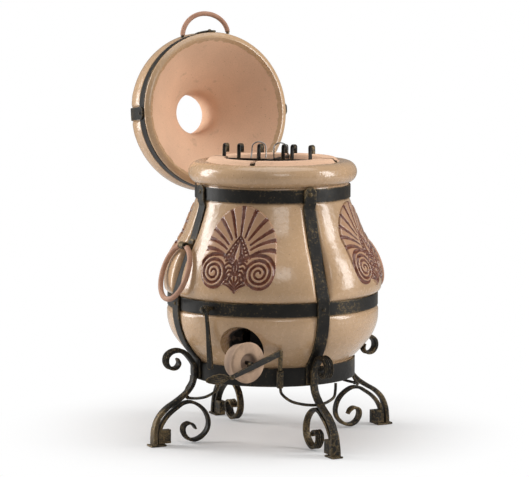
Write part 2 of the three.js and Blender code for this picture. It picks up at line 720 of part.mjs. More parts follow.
const hoopLap = hoopRadius + flatThick + gap;
const lidStrapFoot = hoopLow - 1;
const lidRivetRise = 11; // above the hoop's lower edge
const lidStrapRoute = [
  [hoopLap, lidStrapFoot], [hoopLap, hoopHigh + 0.5], ...lidStrapBack.slice(1),
];
for (const { name, angle } of [sides[0], sides[1], sides[3]]) {
  const strap = strip(lidStrapRoute, flatThick, strapWidth);
  piece(`lid_strap_${name}`, clipped(strap, hoopLap, lidStrapFoot), iron,
    { angle, parent: lid });
  rivet(`lid_rivet_${name}`, hoopLap + flatThick + gap, hoopLow + lidRivetRise, angle, lid);
}

// Back strap of the lid, which runs down past the collar to the hinge.
const hingeDrop = hinge.z - lidRim; // hinge axis in the lid's frame
const pastCollar = collarRadius + collarRoll + 4;
const hingeStrapRoute = [
  [hinge.y + knuckleRadius - 4.5, hingeDrop + 1], [hinge.y + 5, hingeDrop + 12],
  [pastCollar, hingeDrop + 27], [pastCollar, -lidSeatDrop],
  [hoopLap, hoopLow + 1], ...lidStrapRoute.slice(1),
];
const alongX = (radius, x0, x1, count = 12) =>
  acrossAxis(new THREE.CylinderGeometry(radius, radius, x1 - x0, count))
    .translate((x0 + x1) / 2, 0, 0);
const atHinge = (geometry) => geometry.translate(0, -hinge.y, hingeDrop);
const knuckleHalf = 7;
const knuckleGap = 0.4;
const knuckleSlot = { deep: 22, tall: 34, rise: 3 }; // room round the plate's knuckle
const hingeStrap = join(strip(hingeStrapRoute, strapThick, strapWidth),
  atHinge(alongX(knuckleRadius, -strapWidth / 2, strapWidth / 2, 16)));
const hingeRelief = atHinge(new THREE.BoxGeometry(2 * (knuckleHalf + knuckleGap),
  knuckleSlot.deep, knuckleSlot.tall).translate(0, 0, knuckleSlot.rise));
const hingeBore = atHinge(alongX(pinRadius + runningGap, -strapWidth, strapWidth, 16));
piece('lid_hinge_strap', cut(hingeStrap, hingeRelief, hingeBore), iron,
  { angle: 2 * quarter, parent: lid });

// ---------------------------------------------------------------- hinge plate and pin
const plateBack = topBand.radius + flatThick + gap;
const plateThick = 2.8;
const plateHead = { extra: 1, clear: 3 }; // wide head: thicker, and above the knuckle
const stop = { drop: 11.7, thick: 6.5, inner: -5, outer: 10.5 }; // shelf for the open strap
const web = { half: 3.5, post: 2, lap: 3 }; // carries the knuckle, and the shelf under it
const hingePlate = join(
  block([plateBack, plateBack + plateThick], [topBand.low + 1, strapTop], 2 * knuckleHalf),
  block([plateBack, plateBack + plateThick + plateHead.extra],
    [hinge.z + knuckleRadius + plateHead.clear, strapTop], strapWidth),
  peg(knuckleRadius, [-knuckleHalf, knuckleHalf], 0, 0, 16).rotateZ(quarter)
    .translate(0, -hinge.y, hinge.z),
  block([plateBack, hinge.y - web.lap], [hinge.z - web.half, hinge.z + web.half],
    2 * knuckleHalf),
  block([hinge.y + stop.inner, hinge.y + web.post],
    [hinge.z - stop.drop - 4, hinge.z - web.lap], 2 * knuckleHalf),
  block([hinge.y + stop.inner, hinge.y + stop.outer],
    [hinge.z - stop.drop - stop.thick, hinge.z - stop.drop], strapWidth),
);
const plateBore = alongX(pinRadius + runningGap, -strapWidth, strapWidth, 16)
  .translate(0, -hinge.y, hinge.z);
piece('hinge_plate', cut(hingePlate, plateBore), iron, { angle: 2 * quarter });
const pinHalf = strapWidth / 2 + 1;
const pinHead = { rim: 1.6, thick: 3 };
const hingePin = join(alongX(pinRadius, -pinHalf, pinHalf),
  alongX(pinRadius + pinHead.rim, -pinHalf - pinHead.thick, -pinHalf),
  alongX(pinRadius + pinHead.rim, pinHalf, pinHalf + pinHead.thick));
piece('hinge_pin', hingePin.translate(0, -hinge.y, hinge.z), iron, { angle: 2 * quarter });

// ---------------------------------------------------------------- lid handle
const handleFeet = hoopRadius + flatThick + gap;
const handleHalf = 59;
const handleShift = -11; // off the middle, towards -X
const handleRise = 44;
const handlePlane = (hoopLow + hoopHigh) / 2;
function handlePath(from, to, steps) {
  return Array.from({ length: steps + 1 }, (_, i) => {
    const angle = from + (to - from) * i / steps;
    const x = handleShift + handleHalf * sin(angle);
    const foot = sqrt((handleFeet + 2) ** 2 - (handleShift + handleHalf * sign(x)) ** 2);
    return at(foot + (handleFeet + handleRise - foot) * cos(angle), handlePlane, x);
  });
}
const handleSpan = 90 * degrees;
const wrapSpan = 70 * degrees;
const handleBow = (radius) => rod(handlePath(-handleSpan, handleSpan, 18), radius);
const hoopOutside = new THREE.CylinderGeometry(handleFeet, handleFeet, 60, 64)
  .rotateX(quarter).translate(0, 0, handlePlane);
piece('lid_handle', cut(handleBow(ringRod), hoopOutside), iron, onLid);
const handleSleeve = rod(handlePath(-wrapSpan, wrapSpan, 14), ringRod + wrapThick, 8);
piece('lid_handle_wrap', cut(handleSleeve, handleBow(ringRod + 1.5 * gap)), wrap, onLid);

// ---------------------------------------------------------------- damper: post, arm, plug
const out = (angle) => new THREE.Vector3(sin(angle), -cos(angle), 0);
const postAxis = out(hingePost.angle).multiplyScalar(sin(hingePost.lean));
postAxis.z = cos(hingePost.lean);
const postBase = out(hingePost.angle).multiplyScalar(hingePost.radius);
postBase.z = hingePost.height;
const along = (s) => postBase.clone().addScaledVector(postAxis, s);

const socket = join(rod([along(-socketHalf), along(socketHalf)], socketRadius, 12),
  block([lowerBand.radius + flatThick + gap, hingePost.radius - 2], [lowerBand.low + 8,
    lowerBand.high - 6], 7).rotateZ(hingePost.angle));
piece('damper_socket',
  cut(socket, rod([along(-socketHalf - 5), along(socketHalf + 5)], postRod + runningGap, 12)), iron);

const swung = new THREE.Group();
swung.position.copy(postBase);
swung.quaternion.setFromAxisAngle(postAxis, damperOpen * degrees);
tandoor.add(swung);
const damper = new THREE.Group(); // closed position, in the pot's frame
damper.position.copy(postBase).negate();
swung.add(damper);
const onDamper = { parent: damper };

const elbow = along(elbowRise);
const ball = out(-59.8 * degrees).multiplyScalar(236);
ball.z = elbow.z - 9;
const reach = new THREE.Vector3().subVectors(ball, elbow).setLength(armReach);
ball.addVectors(elbow, reach);

// A flat bar on edge between two points.
function blade(from, to, thick, tall, extra = 0) {
  const run = new THREE.Vector3().subVectors(to, from);
  const box = new THREE.BoxGeometry(run.length() + extra, thick, tall);
  const turn = new THREE.Matrix4();
  const x = run.clone().normalize();
  const y = new THREE.Vector3(0, 0, 1).cross(x).normalize();
  turn.makeBasis(x, y, x.clone().cross(y)).setPosition(from.clone().addScaledVector(run, 0.5));
  return box.applyMatrix4(turn);
}
const leafEnd = out(-73.1 * degrees).multiplyScalar(254);
leafEnd.z = ball.z + 10.5;
const leaf = blade(ball, leafEnd, armThick + 1, leafWidth, 6);
const armSolid = join(
  rod([along(-socketHalf), along(elbowRise - 2)], postRod, 10),
  rod([along(socketHalf + 1), along(elbowRise + armHeight / 2)], postRod + 1, 4),
  blade(elbow, ball, armThick, armHeight),
  new THREE.IcosahedronGeometry(ballRadius, 1).translate(ball.x, ball.y, ball.z),
  leaf,
);
piece('damper_arm', armSolid, iron, onDamper);

const boltRadius = 4;
const inward = out(inletAngle);
const boltShare = elbow.clone().applyAxisAngle(new THREE.Vector3(0, 0, 1), -inletAngle).x
  / -reach.clone().applyAxisAngle(new THREE.Vector3(0, 0, 1), -inletAngle).x;
const boltSpot = elbow.clone().addScaledVector(reach, boltShare);
const armBack = inward.dot(boltSpot) - armThick / 2 - 2 * gap; // arm's inner face there
const innerFace = plugFace - plugThick;
const plugBore = boltRadius + runningGap;
const plugOutline = [
  [plugBore, innerFace], [inletRadius - plugThick * inletTaper, innerFace],
  [inletRadius - plugBevel * inletTaper, plugFace - plugBevel],
  [inletRadius - plugBevel, plugFace], [dishRadius, plugFace],
  [dishRadius - 6, plugFace - dishDepth], [plugBore, plugFace - dishDepth],
];
const plug = new THREE.LatheGeometry([...plugOutline, plugOutline[0]]
  .map(([r, u]) => new THREE.Vector2(r, -u)), 32).translate(0, 0, inletHeight);
piece('damper_plug', plug.rotateZ(inletAngle), clay, onDamper);

// Bolt that carries the plug: washers inside the pot and behind the arm.
const washer = 9;
const backWasher = { radius: 14, thick: 3 };
const bolt = join(
  peg(boltRadius, [innerFace - 8, armBack - 1], inletHeight),
  peg(backWasher.radius, [innerFace - gap - backWasher.thick, innerFace - gap], inletHeight,
    0, 16),
  peg(washer, [armBack - 2.4 - washer * 0.11, armBack - washer * 0.11],
    boltSpot.z + 3, 0, 12),
);
piece('damper_bolt', bolt.rotateZ(inletAngle), iron, onDamper);

// ---------------------------------------------------------------- latch
const bandFlat = 0.9; // depth of the band's flat facet behind its corners there
const studEnd = latchStandoff + 5.5;
piece('latch_stud', peg(studRadius, [midLap - bandFlat, studEnd], latchHeight), iron,
  { angle: latchAngle });
const latchRoute = [
  [latchStandoff, latchHeight + 8], [latchStandoff, latchHeight], [latchStandoff - 1, latchHeight - 14],
  [latchStandoff - 6, latchHeight - 50], [latchStandoff - 11, latchHeight - 95],
  [latchStandoff - 14.5, latchHeight - latchLength],
];
const latchWidths = [12, 14, 8, 9.5, 13, 15];
const latchThick = 5;
const latchBar = bar(latchRoute.map(([u, z]) => new THREE.Vector2(u, z)), latchThick,
  (t) => latchWidths[round(t * (latchWidths.length - 1))]);
const latchBore = peg(studRadius + runningGap, [latchStandoff - 10, latchStandoff + 10], latchHeight);
piece('latch_bar', cut(latchBar, latchBore), iron, { angle: latchAngle });
const rosetteFlat = 0.45; // depth of the rosette as a share of its width
const rosette = new THREE.SphereGeometry(rosetteRadius, 12, 6).scale(1, rosetteFlat, 1)
  .translate(0, -(studEnd + gap + rosetteRadius * rosetteFlat), latchHeight);
piece('latch_rosette', rosette, iron, { angle: latchAngle });

// ---------------------------------------------------------------- skewer hanger
const hookLine = quarter / 2; // the hooks stand along the bar at 45 degrees
const hookSpots = [-115, -80, -33, 24, 45, 88];
const hangerBar = () => block([-hangerReach, hangerReach],
  [hangerHeight, hangerHeight + hangerThick], hangerWidth);
const hookBend = 5.5; // radius of the hook's turn
const hookDrop = 20; // tip below the hook's top
function hook(spot) {
  const top = hangerHeight + hangerThick + hookRise;
  const arc = Array.from({ length: 7 }, (_, i) => {
    const angle = PI - i * PI / 6;
    return [spot + hookBend + hookBend * cos(angle),
      top - hookBend - hookThick / 2 + hookBend * sin(angle)];
  });
  const route = [[spot, hangerHeight + 1], ...arc, [spot + 2 * hookBend, top - hookDrop]];
  return bar(route.map(([u, z]) => new THREE.Vector2(u, z)), hookThick, hookWidth);
}
const hanger = join(hangerBar(), hangerBar().rotateZ(quarter), ...hookSpots.map(hook));
piece('hanger', hanger.rotateZ(hookLine), iron);

// Lifting loops of thin wire on the hook bar, each leaning to its own side.
const loopFoot = hangerHeight + hangerThick + 3 * gap;
const loopWire = 1.4;
const loop = { leg: 16, bow: 20, rise: 16, start: 2.4, slope: 0.4, lean: 4.8 };
for (const { name, from, to, way } of [
  { name: 'a', from: -52, to: -17, way: 1 },
  { name: 'b', from: 4, to: 38, way: -1 },
]) {
  const half = (to - from) / 2;
  const route = [
    [from, loopFoot], [from + 1, loopFoot + loop.leg],
    ...[150, 120, 90, 60, 30].map((turn) => [(from + to) / 2 + half * cos(turn * degrees),
      loopFoot + loop.bow + loop.rise * sin(turn * degrees)]),
    [to - 1, loopFoot + loop.leg], [to, loopFoot],
  ];
  const wire = rod(route.map(([u, z]) =>
    at(u, z, way * (loop.start + min(loop.lean, loop.slope * (z - loopFoot))))), loopWire);
  piece(`lifting_loop_${name}`, wire, steel, { angle: hookLine });
}

// ---------------------------------------------------------------- centre on the footprint
const bounds = new THREE.Box3().setFromObject(tandoor, true);
tandoor.position.set(0, -(bounds.min.y + bounds.max.y) / 2, 0);

export default tandoor;
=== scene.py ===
import math

import bmesh
import bpy
import numpy as np
from mathutils import Matrix, Vector, noise


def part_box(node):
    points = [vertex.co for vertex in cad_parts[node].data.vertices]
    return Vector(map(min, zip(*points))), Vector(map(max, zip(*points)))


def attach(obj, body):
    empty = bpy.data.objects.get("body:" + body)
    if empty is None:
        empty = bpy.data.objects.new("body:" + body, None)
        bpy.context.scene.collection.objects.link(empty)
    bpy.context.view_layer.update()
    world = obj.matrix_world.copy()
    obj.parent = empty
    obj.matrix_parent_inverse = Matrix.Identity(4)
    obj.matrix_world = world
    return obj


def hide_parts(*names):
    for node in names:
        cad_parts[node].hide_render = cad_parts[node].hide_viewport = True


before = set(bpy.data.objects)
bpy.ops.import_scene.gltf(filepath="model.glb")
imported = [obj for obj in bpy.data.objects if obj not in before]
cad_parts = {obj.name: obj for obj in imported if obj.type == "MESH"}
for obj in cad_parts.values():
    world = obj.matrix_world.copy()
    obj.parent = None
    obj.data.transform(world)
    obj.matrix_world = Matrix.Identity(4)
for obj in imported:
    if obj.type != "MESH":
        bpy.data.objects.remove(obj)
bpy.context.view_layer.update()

# ------------------------------------------------------------------ camera
# The oven is seen from the front left and a little above, from far away, so that its bands are
# almost flat ellipses. Sizes here and below are millimetres from the pot's axis and the floor.
band_low, band_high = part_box("band_middle")
pot_axis = Vector((0, (band_low[1] + band_high[1]) / 2, 0))
place = Matrix.Translation(pot_axis) @ Matrix.Scale(0.001, 4)
eye_point = Vector((-2422.9, -4694.6, 1037.2))
eye_down = 83.64
eye_turn = -27.1
eye_lens = 160.9

eye = bpy.data.objects.new("photo_eye", bpy.data.cameras.new("photo_eye"))
eye.data.lens = eye_lens
eye.data.sensor_width = 36
eye.data.clip_end = 60
eye.location = place @ eye_point
eye.rotation_euler = (math.radians(eye_down), 0, math.radians(eye_turn))
bpy.context.collection.objects.link(eye)
bpy.context.scene.camera = eye
bpy.context.scene.view_settings.view_transform = "Standard"

# ------------------------------------------------------------------ studio
# A pale floor that runs into a white room, a tall soft box at each side of the oven and a broad
# one above it. Near the oven the floor is left grey, a painted soft shadow pool; further out it
# fades to white. The white comes from what the camera sees, not from more light on the oven.
# The floor's grey round the oven, with a little glow for the camera, is a painted shadow pool.
shadow_pool_grey = 0.72
floor_glow = 0.15
shadow_pool_reach = (0.26, 0.62)
room_light = 0.25
soft_boxes = [
    # name, angle from the front strap, distance, height, width, tall, watts
    ("left_box", -126, 2.2, 1.1, 0.8, 1.9, 45),
    ("right_box", 52, 2.5, 1.2, 0.7, 1.9, 38),
    ("front_box", -14, 3.6, 2.3, 1.3, 1.2, 18),
    ("top_box", 20, 0.2, 2.9, 2.4, 2.4, 34),
]


def out(angle):
    """The level way out from the axis, at an angle in degrees from the front to the right."""
    turn = math.radians(angle)
    return Vector((math.sin(turn), -math.cos(turn), 0))


def add(tree, kind, sockets=(), **settings):
    """A node of a tree; each of its sockets gets a plain value or a link from another socket."""
    made = tree.nodes.new(kind)
    for title, value in settings.items():
        setattr(made, title, value)
    for title, value in dict(sockets).items():
        if isinstance(value, bpy.types.NodeSocket):
            tree.links.new(value, made.inputs[title])
        else:
            made.inputs[title].default_value = value
    return made


def shader(name):
    made = bpy.data.materials.new(name)
    made.use_nodes = True
    made.node_tree.nodes.clear()
    return made, made.node_tree


floor_paint, tree = shader("floor_with_painted_shadow_pool")
seen = add(tree, "ShaderNodeLightPath").outputs["Is Camera Ray"]
paint = add(tree, "ShaderNodeBsdfDiffuse", {"Color": (shadow_pool_grey, shadow_pool_grey, shadow_pool_grey, 1)})
seen_glow = add(tree, "ShaderNodeMath", {0: seen, 1: floor_glow}, operation="MULTIPLY")
glow = add(tree, "ShaderNodeEmission", {"Strength": seen_glow.outputs[0]})
total = add(tree, "ShaderNodeAddShader", {0: paint.outputs[0], 1: glow.outputs[0]})
spot = add(tree, "ShaderNodeTexCoord").outputs["Object"]
away = add(tree, "ShaderNodeVectorMath", {0: spot}, operation="LENGTH").outputs["Value"]
# Between these radii the painted shadow pool under the oven fades into white.
far = add(tree, "ShaderNodeMapRange", {"Value": away, "From Min": shadow_pool_reach[0],
                                       "From Max": shadow_pool_reach[1]},
          interpolation_type="SMOOTHSTEP")
seen_far = add(tree, "ShaderNodeMath", {0: far.outputs[0], 1: seen}, operation="MULTIPLY")
white = add(tree, "ShaderNodeEmission")
pool_fading_to_white = add(tree, "ShaderNodeMixShader",
             {0: seen_far.outputs[0], 1: total.outputs[0], 2: white.outputs[0]})
add(tree, "ShaderNodeOutputMaterial", {"Surface": pool_fading_to_white.outputs[0]})
floor_mesh = bpy.data.meshes.new("studio_floor")
floor_mesh.from_pydata([(-20, -20, 0), (20, -20, 0), (20, 20, 0), (-20, 20, 0)], [], [(0, 1, 2, 3)])
floor_mesh.materials.append(floor_paint)
studio_floor = bpy.data.objects.new("studio_floor", floor_mesh)
bpy.context.collection.objects.link(studio_floor)

room = bpy.data.worlds.new("white_room")
room.use_nodes = True
bpy.context.scene.world = room
tree = room.node_tree
walls = tree.nodes["Background"]
walls.inputs["Color"].default_value = (1, 1, 1, 1)
seen = add(tree, "ShaderNodeLightPath").outputs
straight = add(tree, "ShaderNodeMath",
               {0: seen["Is Camera Ray"], 1: seen["Is Transmission Ray"]}, operation="MAXIMUM")
bright = add(tree, "ShaderNodeMapRange",
             {"Value": straight.outputs[0], "To Min": room_light, "To Max": 1.0})
tree.links.new(bright.outputs[0], walls.inputs["Strength"])

for name, angle, away, height, wide, tall, watts in soft_boxes:
    lamp = bpy.data.lights.new(name, "AREA")
    lamp.shape = "RECTANGLE"
    lamp.size, lamp.size_y, lamp.energy = wide, tall, watts
    box = bpy.data.objects.new(name, lamp)
    box.location = out(angle) * away + Vector((0, 0, height))
    aim = Vector((0, 0, 0.45)) - box.location
    box.rotation_euler = aim.to_track_quat("-Z", "Y").to_euler()
    bpy.context.collection.objects.link(box)

# ------------------------------------------------------------------ pot
# One body of chamotte clay, thrown and pressed: four swelling panels between the beds of the
# straps, a rolled collar and a bare lip. It is glazed outside, with the fire hole cut low down.
gap = 0.3
groove_half = 16
edge_round = 9
bands = [("lower", 182, 142, 184), ("middle", 233.3, 302, 332), ("top", 171, 543, 573)]
band_thick = 4
strap_back = [
    (186.3, 146), (186.3, 185), (195, 198), (209, 216), (222, 237), (231, 261), (235.5, 280),
    (237.6, 299), (237.6, 335), (234, 346), (226, 368), (212, 406), (197.5, 445), (184, 487),
    (175, 517), (172, 529), (172.6, 536), (173.9, 539), (175.3, 542), (175.3, 577),
]
lower_panel = [(183, 186), (206, 211), (225.5, 237), (236, 265), (238, 290), (236.5, 300)]
upper_panel = [
    (243, 334), (245, 356), (240.5, 386), (230, 415), (215, 441), (199.5, 468), (187.5, 498),
    (178, 524), (173, 542),
]
panel_spans = [(lower_panel, 185, 301, 181.7, 233), (upper_panel, 333, 542, 233, 170.7)]
collar_centre, collar_roll = (164.5, 600.5), 24.5
lip_outline = [
    (151, 622.5), (147, 624.6), (143.6, 628.4), (141.2, 630.9), (138.6, 632), (125, 632),
    (111.4, 631.9), (109.2, 631), (108, 628.6),
]
inside_outline = [
    (109, 600), (115, 572), (126, 543), (152, 470), (184, 400), (198, 340), (192, 280),
    (179, 235), (150, 198), (128, 189.6), (0, 189.3),
]
inlet = {"angle": -45, "height": 228, "face": 213.5, "radius": 48.1, "taper": 0.22}
hole_inward, hole_outward = 90, 40
notch_wide, notch_low = 12, 622.7
crease = 38  # degrees; a blunter edge is shaded as a round one


def smooth_line(points, step):
    """A Catmull-Rom line through points, with a point about every step."""
    p = np.array(points, float)
    p = np.vstack([2 * p[0] - p[1], p, 2 * p[-1] - p[-2]])
    out = []
    for i in range(1, len(p) - 2):
        count = max(1, round(np.linalg.norm(p[i + 1] - p[i]) / step))
        t = (np.arange(count) / count)[:, None]
        a, b, c, d = p[i - 1], p[i], p[i + 1], p[i + 2]
        out.append(0.5 * (2 * b + (c - a) * t + (2 * a - 5 * b + 4 * c - d) * t ** 2
                          + (3 * b - a - 3 * c + d) * t ** 3))
    return np.vstack(out + [p[-2:-1]])


def read_line(points, z):
    line = smooth_line(points, 2.0)
    return np.interp(z, line[:, 1], line[:, 0])


def panel_radius(z):
    """Radius of the full panel at a height, the bands' seats between panels."""
    for points, low, high, low_seat, high_seat in panel_spans:
        if low <= z <= high:
            edge = min(z - low, high - z)
            rise = math.sqrt(max(0, 1 - (1 - min(edge / edge_round, 1)) ** 2))
            seat = low_seat if z - low < high - z else high_seat
            return seat + (read_line(points, z) - seat) * rise
    return 181.7 if z < 200 else 233.0 if z < 400 else 170.7


def flank(s):
    """Share of the panel's swell at s mm beyond the edge of a strap's bed."""
    return 1 - 0.68 * np.exp(-s / 2.6) - 0.32 * np.exp(-s / 22)


def strap_bed(z):
    """Radius of the flat bed behind a strap at a height."""
    return np.interp(z, [p[1] for p in strap_back], [p[0] for p in strap_back]) - gap


def grooved(angle, panel, bed):
    """Radius of the clay at an angle in radians from a strap, as numbers or arrays."""
    off = np.abs((angle + math.pi / 4) % (math.pi / 2) - math.pi / 4)
    s = off * panel - groove_half
    full = bed + (panel - bed) * flank(np.maximum(s, 0))
    flat = np.where(off < 0.3, np.minimum(bed / np.cos(off), panel), bed)
    return np.where(bed >= panel, panel, np.where(s <= 0, flat, np.maximum(full, flat)))


def tidy(mesh, crease=crease):
    """Merges doubles, turns the faces out and keeps edges above the crease angle sharp."""
    shape = bmesh.new()
    shape.from_mesh(mesh)
    bmesh.ops.remove_doubles(shape, verts=shape.verts, dist=1e-3)
    bmesh.ops.dissolve_degenerate(shape, edges=shape.edges, dist=1e-5)
    bmesh.ops.recalc_face_normals(shape, faces=shape.faces)
    shape.to_mesh(mesh)
    shape.free()
    mesh.shade_smooth()
    mesh.set_sharp_from_angle(angle=math.radians(crease))
    return mesh


def ring_mesh(rings, crease=crease):
    """A body of open rings of points, each one joined to the next and the last to the first."""
    count, size = len(rings), len(rings[0])
    faces = []
    for i in range(count):
        n = (i + 1) % count
        faces += [(i * size + j, i * size + j + 1, n * size + j + 1, n * size + j)
                  for j in range(size - 1)]
    mesh = bpy.data.meshes.new("turned")
    mesh.from_pydata(np.array(rings, float).reshape(-1, 3).tolist(), [], faces)
    return tidy(mesh, crease)


def link(name, mesh):
    thing = bpy.data.objects.new(name, mesh)
    bpy.context.collection.objects.link(thing)
    return thing


def baked(thing):
    """The plain mesh of an object with its modifiers applied; the object itself goes."""
    graph = bpy.context.evaluated_depsgraph_get()
    mesh = bpy.data.meshes.new_from_object(thing.evaluated_get(graph), depsgraph=graph)
    bpy.data.objects.remove(thing)
    return mesh


def fitted(name, mesh, paint, body, slot, *replaced, at=Matrix.Identity(4)):
    """Paints a mesh made in mm, puts it in its place and hands it to the frame as a piece."""
    mesh.name = name
    mesh.materials.clear()
    mesh.materials.append(paint)
    mesh.transform(place @ at)
    piece = link(name, mesh)
    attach(piece, body)
    if replaced:
        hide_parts(*replaced)


quarter = math.pi / 2
bed_steps = [0, 6, 11, 14.5, 15.6, 16.2, 16.8, 17.5, 18.4, 19.6, 21.2, 23.4, 26.4, 30.5, 36, 43]
open_count = 24


def column_angles(bed):
    """Angles of the mesh's columns over one quarter, from a strap's middle to the next one's."""
    near = np.array(bed_steps) / max(bed, 150)
    far = np.linspace(near[-1], quarter / 2, open_count)[1:]
    half = np.concatenate([near, far])
    return np.concatenate([half, quarter - half[-2:0:-1]])


def clay_body(rows, bed_at):
    """A clay body of rows [radius, height, has panels], with the straps' beds in its panels."""
    rings = []
    for quarter_turn in range(4):
        for k in range(len(column_angles(200))):
            ring = []
            for r, z, panels in rows:
                bed = bed_at(z) if panels else r
                angle = column_angles(min(bed, r))[k]
                wide = float(grooved(angle, r, bed)) if panels else r
                angle += quarter_turn * quarter
                ring.append((wide * math.sin(angle), -wide * math.cos(angle), z))
            rings.append(ring)
    return ring_mesh(rings)


outside_heights = np.unique(np.concatenate([
    [147.3, 150, 156, 170, 184, 184.9], 185 + np.array([0, 0.3, 0.9, 1.8, 3, 4.6, 6.6, 9]),
    np.arange(197, 292, 3.2), 301 - np.array([9, 6.6, 4.6, 3, 1.8, 0.9, 0.3, 0]),
    [303, 317, 331], 333 + np.array([0, 0.3, 0.9, 1.8, 3, 4.6, 6.6, 9]),
    np.arange(345, 534, 3.4), 542 - np.array([8, 5.5, 3.6, 2.2, 1.2, 0.4, 0]), [545, 560, 573.5],
]))
rows = [(0, 147.3), (60, 147.3), (120, 147.3), (176, 147.3), (179.5, 148.3), (181.2, 150)]
rows = [(r, z, False) for r, z in rows]
rows += [(panel_radius(z), z, True) for z in outside_heights if z > 151]
for turn in np.linspace(-80, 84, 26):
    rows.append((collar_centre[0] + collar_roll * math.cos(math.radians(turn)),
                 collar_centre[1] + collar_roll * math.sin(math.radians(turn)), False))
rows += [(r, z, False) for r, z in lip_outline]
rows += [(r, z, False) for r, z in smooth_line(inside_outline, 14)]
pot = clay_body(rows, strap_bed)


def turned_about(angle):
    return Matrix.Rotation(math.radians(angle), 4, "Z")


def cone(inner, outer, radius, taper, sides=96):
    """A cutter along the front plane that narrows towards the pot's axis."""
    circle = [(math.cos(a), math.sin(a)) for a in np.linspace(0, 2 * math.pi, sides + 1)[:-1]]
    shape = bmesh.new()
    loops = []
    for u, r in [(inner, radius - (outer - inner) * taper), (outer, radius)]:
        loops.append([shape.verts.new((r * x, -u, r * y)) for x, y in circle])
    for i in range(sides):
        n = (i + 1) % sides
        shape.faces.new((loops[0][i], loops[0][n], loops[1][n], loops[1][i]))
    shape.faces.new(loops[0])
    shape.faces.new(loops[1])
    bmesh.ops.recalc_face_normals(shape, faces=shape.faces)
    mesh = bpy.data.meshes.new("cutter")
    shape.to_mesh(mesh)
    shape.free()
    return mesh


def cut_away(mesh, *tools):
    """The mesh that is left when the tools' shapes are cut out of one."""
    blank = link("blank", mesh)
    knives = [link("knife", tool) for tool in tools]
    for knife in knives:
        cut = blank.modifiers.new("cut", "BOOLEAN")
        cut.object, cut.operation, cut.solver = knife, "DIFFERENCE", "EXACT"
    mesh = baked(blank)
    for knife in knives:
        bpy.data.objects.remove(knife)
    mesh.set_sharp_from_angle(angle=math.radians(crease))
    return mesh


hole_place = turned_about(inlet["angle"]) @ Matrix.Translation((0, 0, inlet["height"]))
fire_hole = cone(inlet["face"] - hole_inward, inlet["face"] + hole_outward,
                 inlet["radius"] + hole_outward * inlet["taper"], inlet["taper"])
fire_hole.transform(hole_place)
tools = [fire_hole]
for k in range(4):
    notch = bpy.data.meshes.new("lip_notch")
    half, low, high = notch_wide / 2, notch_low, 640
    notch.from_pydata(
        [(x, y, z) for x in (-half, half) for y in (-98, -161) for z in (low, high)], [],
        [(0, 1, 3, 2), (4, 6, 7, 5), (0, 4, 5, 1), (2, 3, 7, 6), (0, 2, 6, 4), (1, 5, 7, 3)])
    notch.transform(turned_about(45 + 90 * k))
    tools.append(tidy(notch))
pot = cut_away(pot, *tools)


# The clay's own look, used by every clay surface: cloudy mottling, fine grain and dark specks.
def node_group(kind, name, inputs, outputs):
    """A node group and its two ends; inputs are [name, kind, value], outputs [name, kind]."""
    group = bpy.data.node_groups.new(name, kind)
    for title, socket_kind, value in inputs:
        socket = group.interface.new_socket(title, in_out="INPUT",
                                            socket_type="NodeSocket" + socket_kind)
        if value is not None:
            socket.default_value = value
    for title, socket_kind in outputs:
        group.interface.new_socket(title, in_out="OUTPUT",
                                   socket_type="NodeSocket" + socket_kind)
    return group, add(group, "NodeGroupInput").outputs, add(group, "NodeGroupOutput").inputs


def mixed(tree, blend, share, first, second):
    """A colour mix; each of share, first and second is a socket or a plain value."""
    return add(tree, "ShaderNodeMix", {0: share, 6: first, 7: second},
               data_type="RGBA", blend_type=blend).outputs[2]


def number(tree, operation, first, second=0.0):
    return add(tree, "ShaderNodeMath", {0: first, 1: second}, operation=operation).outputs[0]


def blend_number(tree, share, first, second):
    return add(tree, "ShaderNodeMix", {0: share, 2: first, 3: second}).outputs[0]


def cloud(tree, where, scale, detail=3.0, rough=0.5):
    return add(tree, "ShaderNodeTexNoise", {"Vector": where, "Scale": scale, "Detail": detail,
                                            "Roughness": rough}).outputs["Fac"]


def graded(tree, value, low, high, to_low=0.0, to_high=1.0):
    return add(tree, "ShaderNodeMapRange", {"Value": value, "From Min": low, "From Max": high,
                                            "To Min": to_low, "To Max": to_high}).outputs[0]


clay_look, given, result = node_group(
    "ShaderNodeTree", "clay_body",
    [("Vector", "Vector", None), ("Clay", "Color", (0.6, 0.4, 0.25, 1)),
     ("Mottle", "Float", 0.25), ("Specks", "Float", 0.5)],
    [("Color", "Color"), ("Grain", "Float"), ("Peel", "Float")])
tree = clay_look
soft = cloud(tree, given["Vector"], 9, 4)
fine = cloud(tree, given["Vector"], 420, 3, 0.7)
peel = cloud(tree, given["Vector"], 120, 1.5)
dots = add(tree, "ShaderNodeTexVoronoi",
           {"Vector": given["Vector"], "Scale": 150, "Randomness": 1}).outputs
pick = add(tree, "ShaderNodeSeparateColor", {0: dots["Color"]}).outputs[0]
near = graded(tree, dots["Distance"], 0.16, 0.08)
speck = number(tree, "MULTIPLY", near, number(tree, "LESS_THAN", pick, 0.16))
speck = number(tree, "MULTIPLY", speck, given["Specks"])
shade = graded(tree, soft, 0.3, 0.7, 0.72, 1.16)
toned = mixed(tree, "MULTIPLY", given["Mottle"], given["Clay"], shade)
grained = mixed(tree, "MULTIPLY", 0.22, toned, graded(tree, fine, 0.3, 0.7, 0.6, 1.3))
tree.links.new(mixed(tree, "MIX", speck, grained, (0.13, 0.06, 0.03, 1)), result["Color"])
tree.links.new(fine, result["Grain"])
tree.links.new(peel, result["Peel"])


def use_group(tree, group, **values):
    return add(tree, "ShaderNodeGroup", values, node_tree=group).outputs


def object_place(tree):
    return add(tree, "ShaderNodeTexCoord").outputs["Object"]


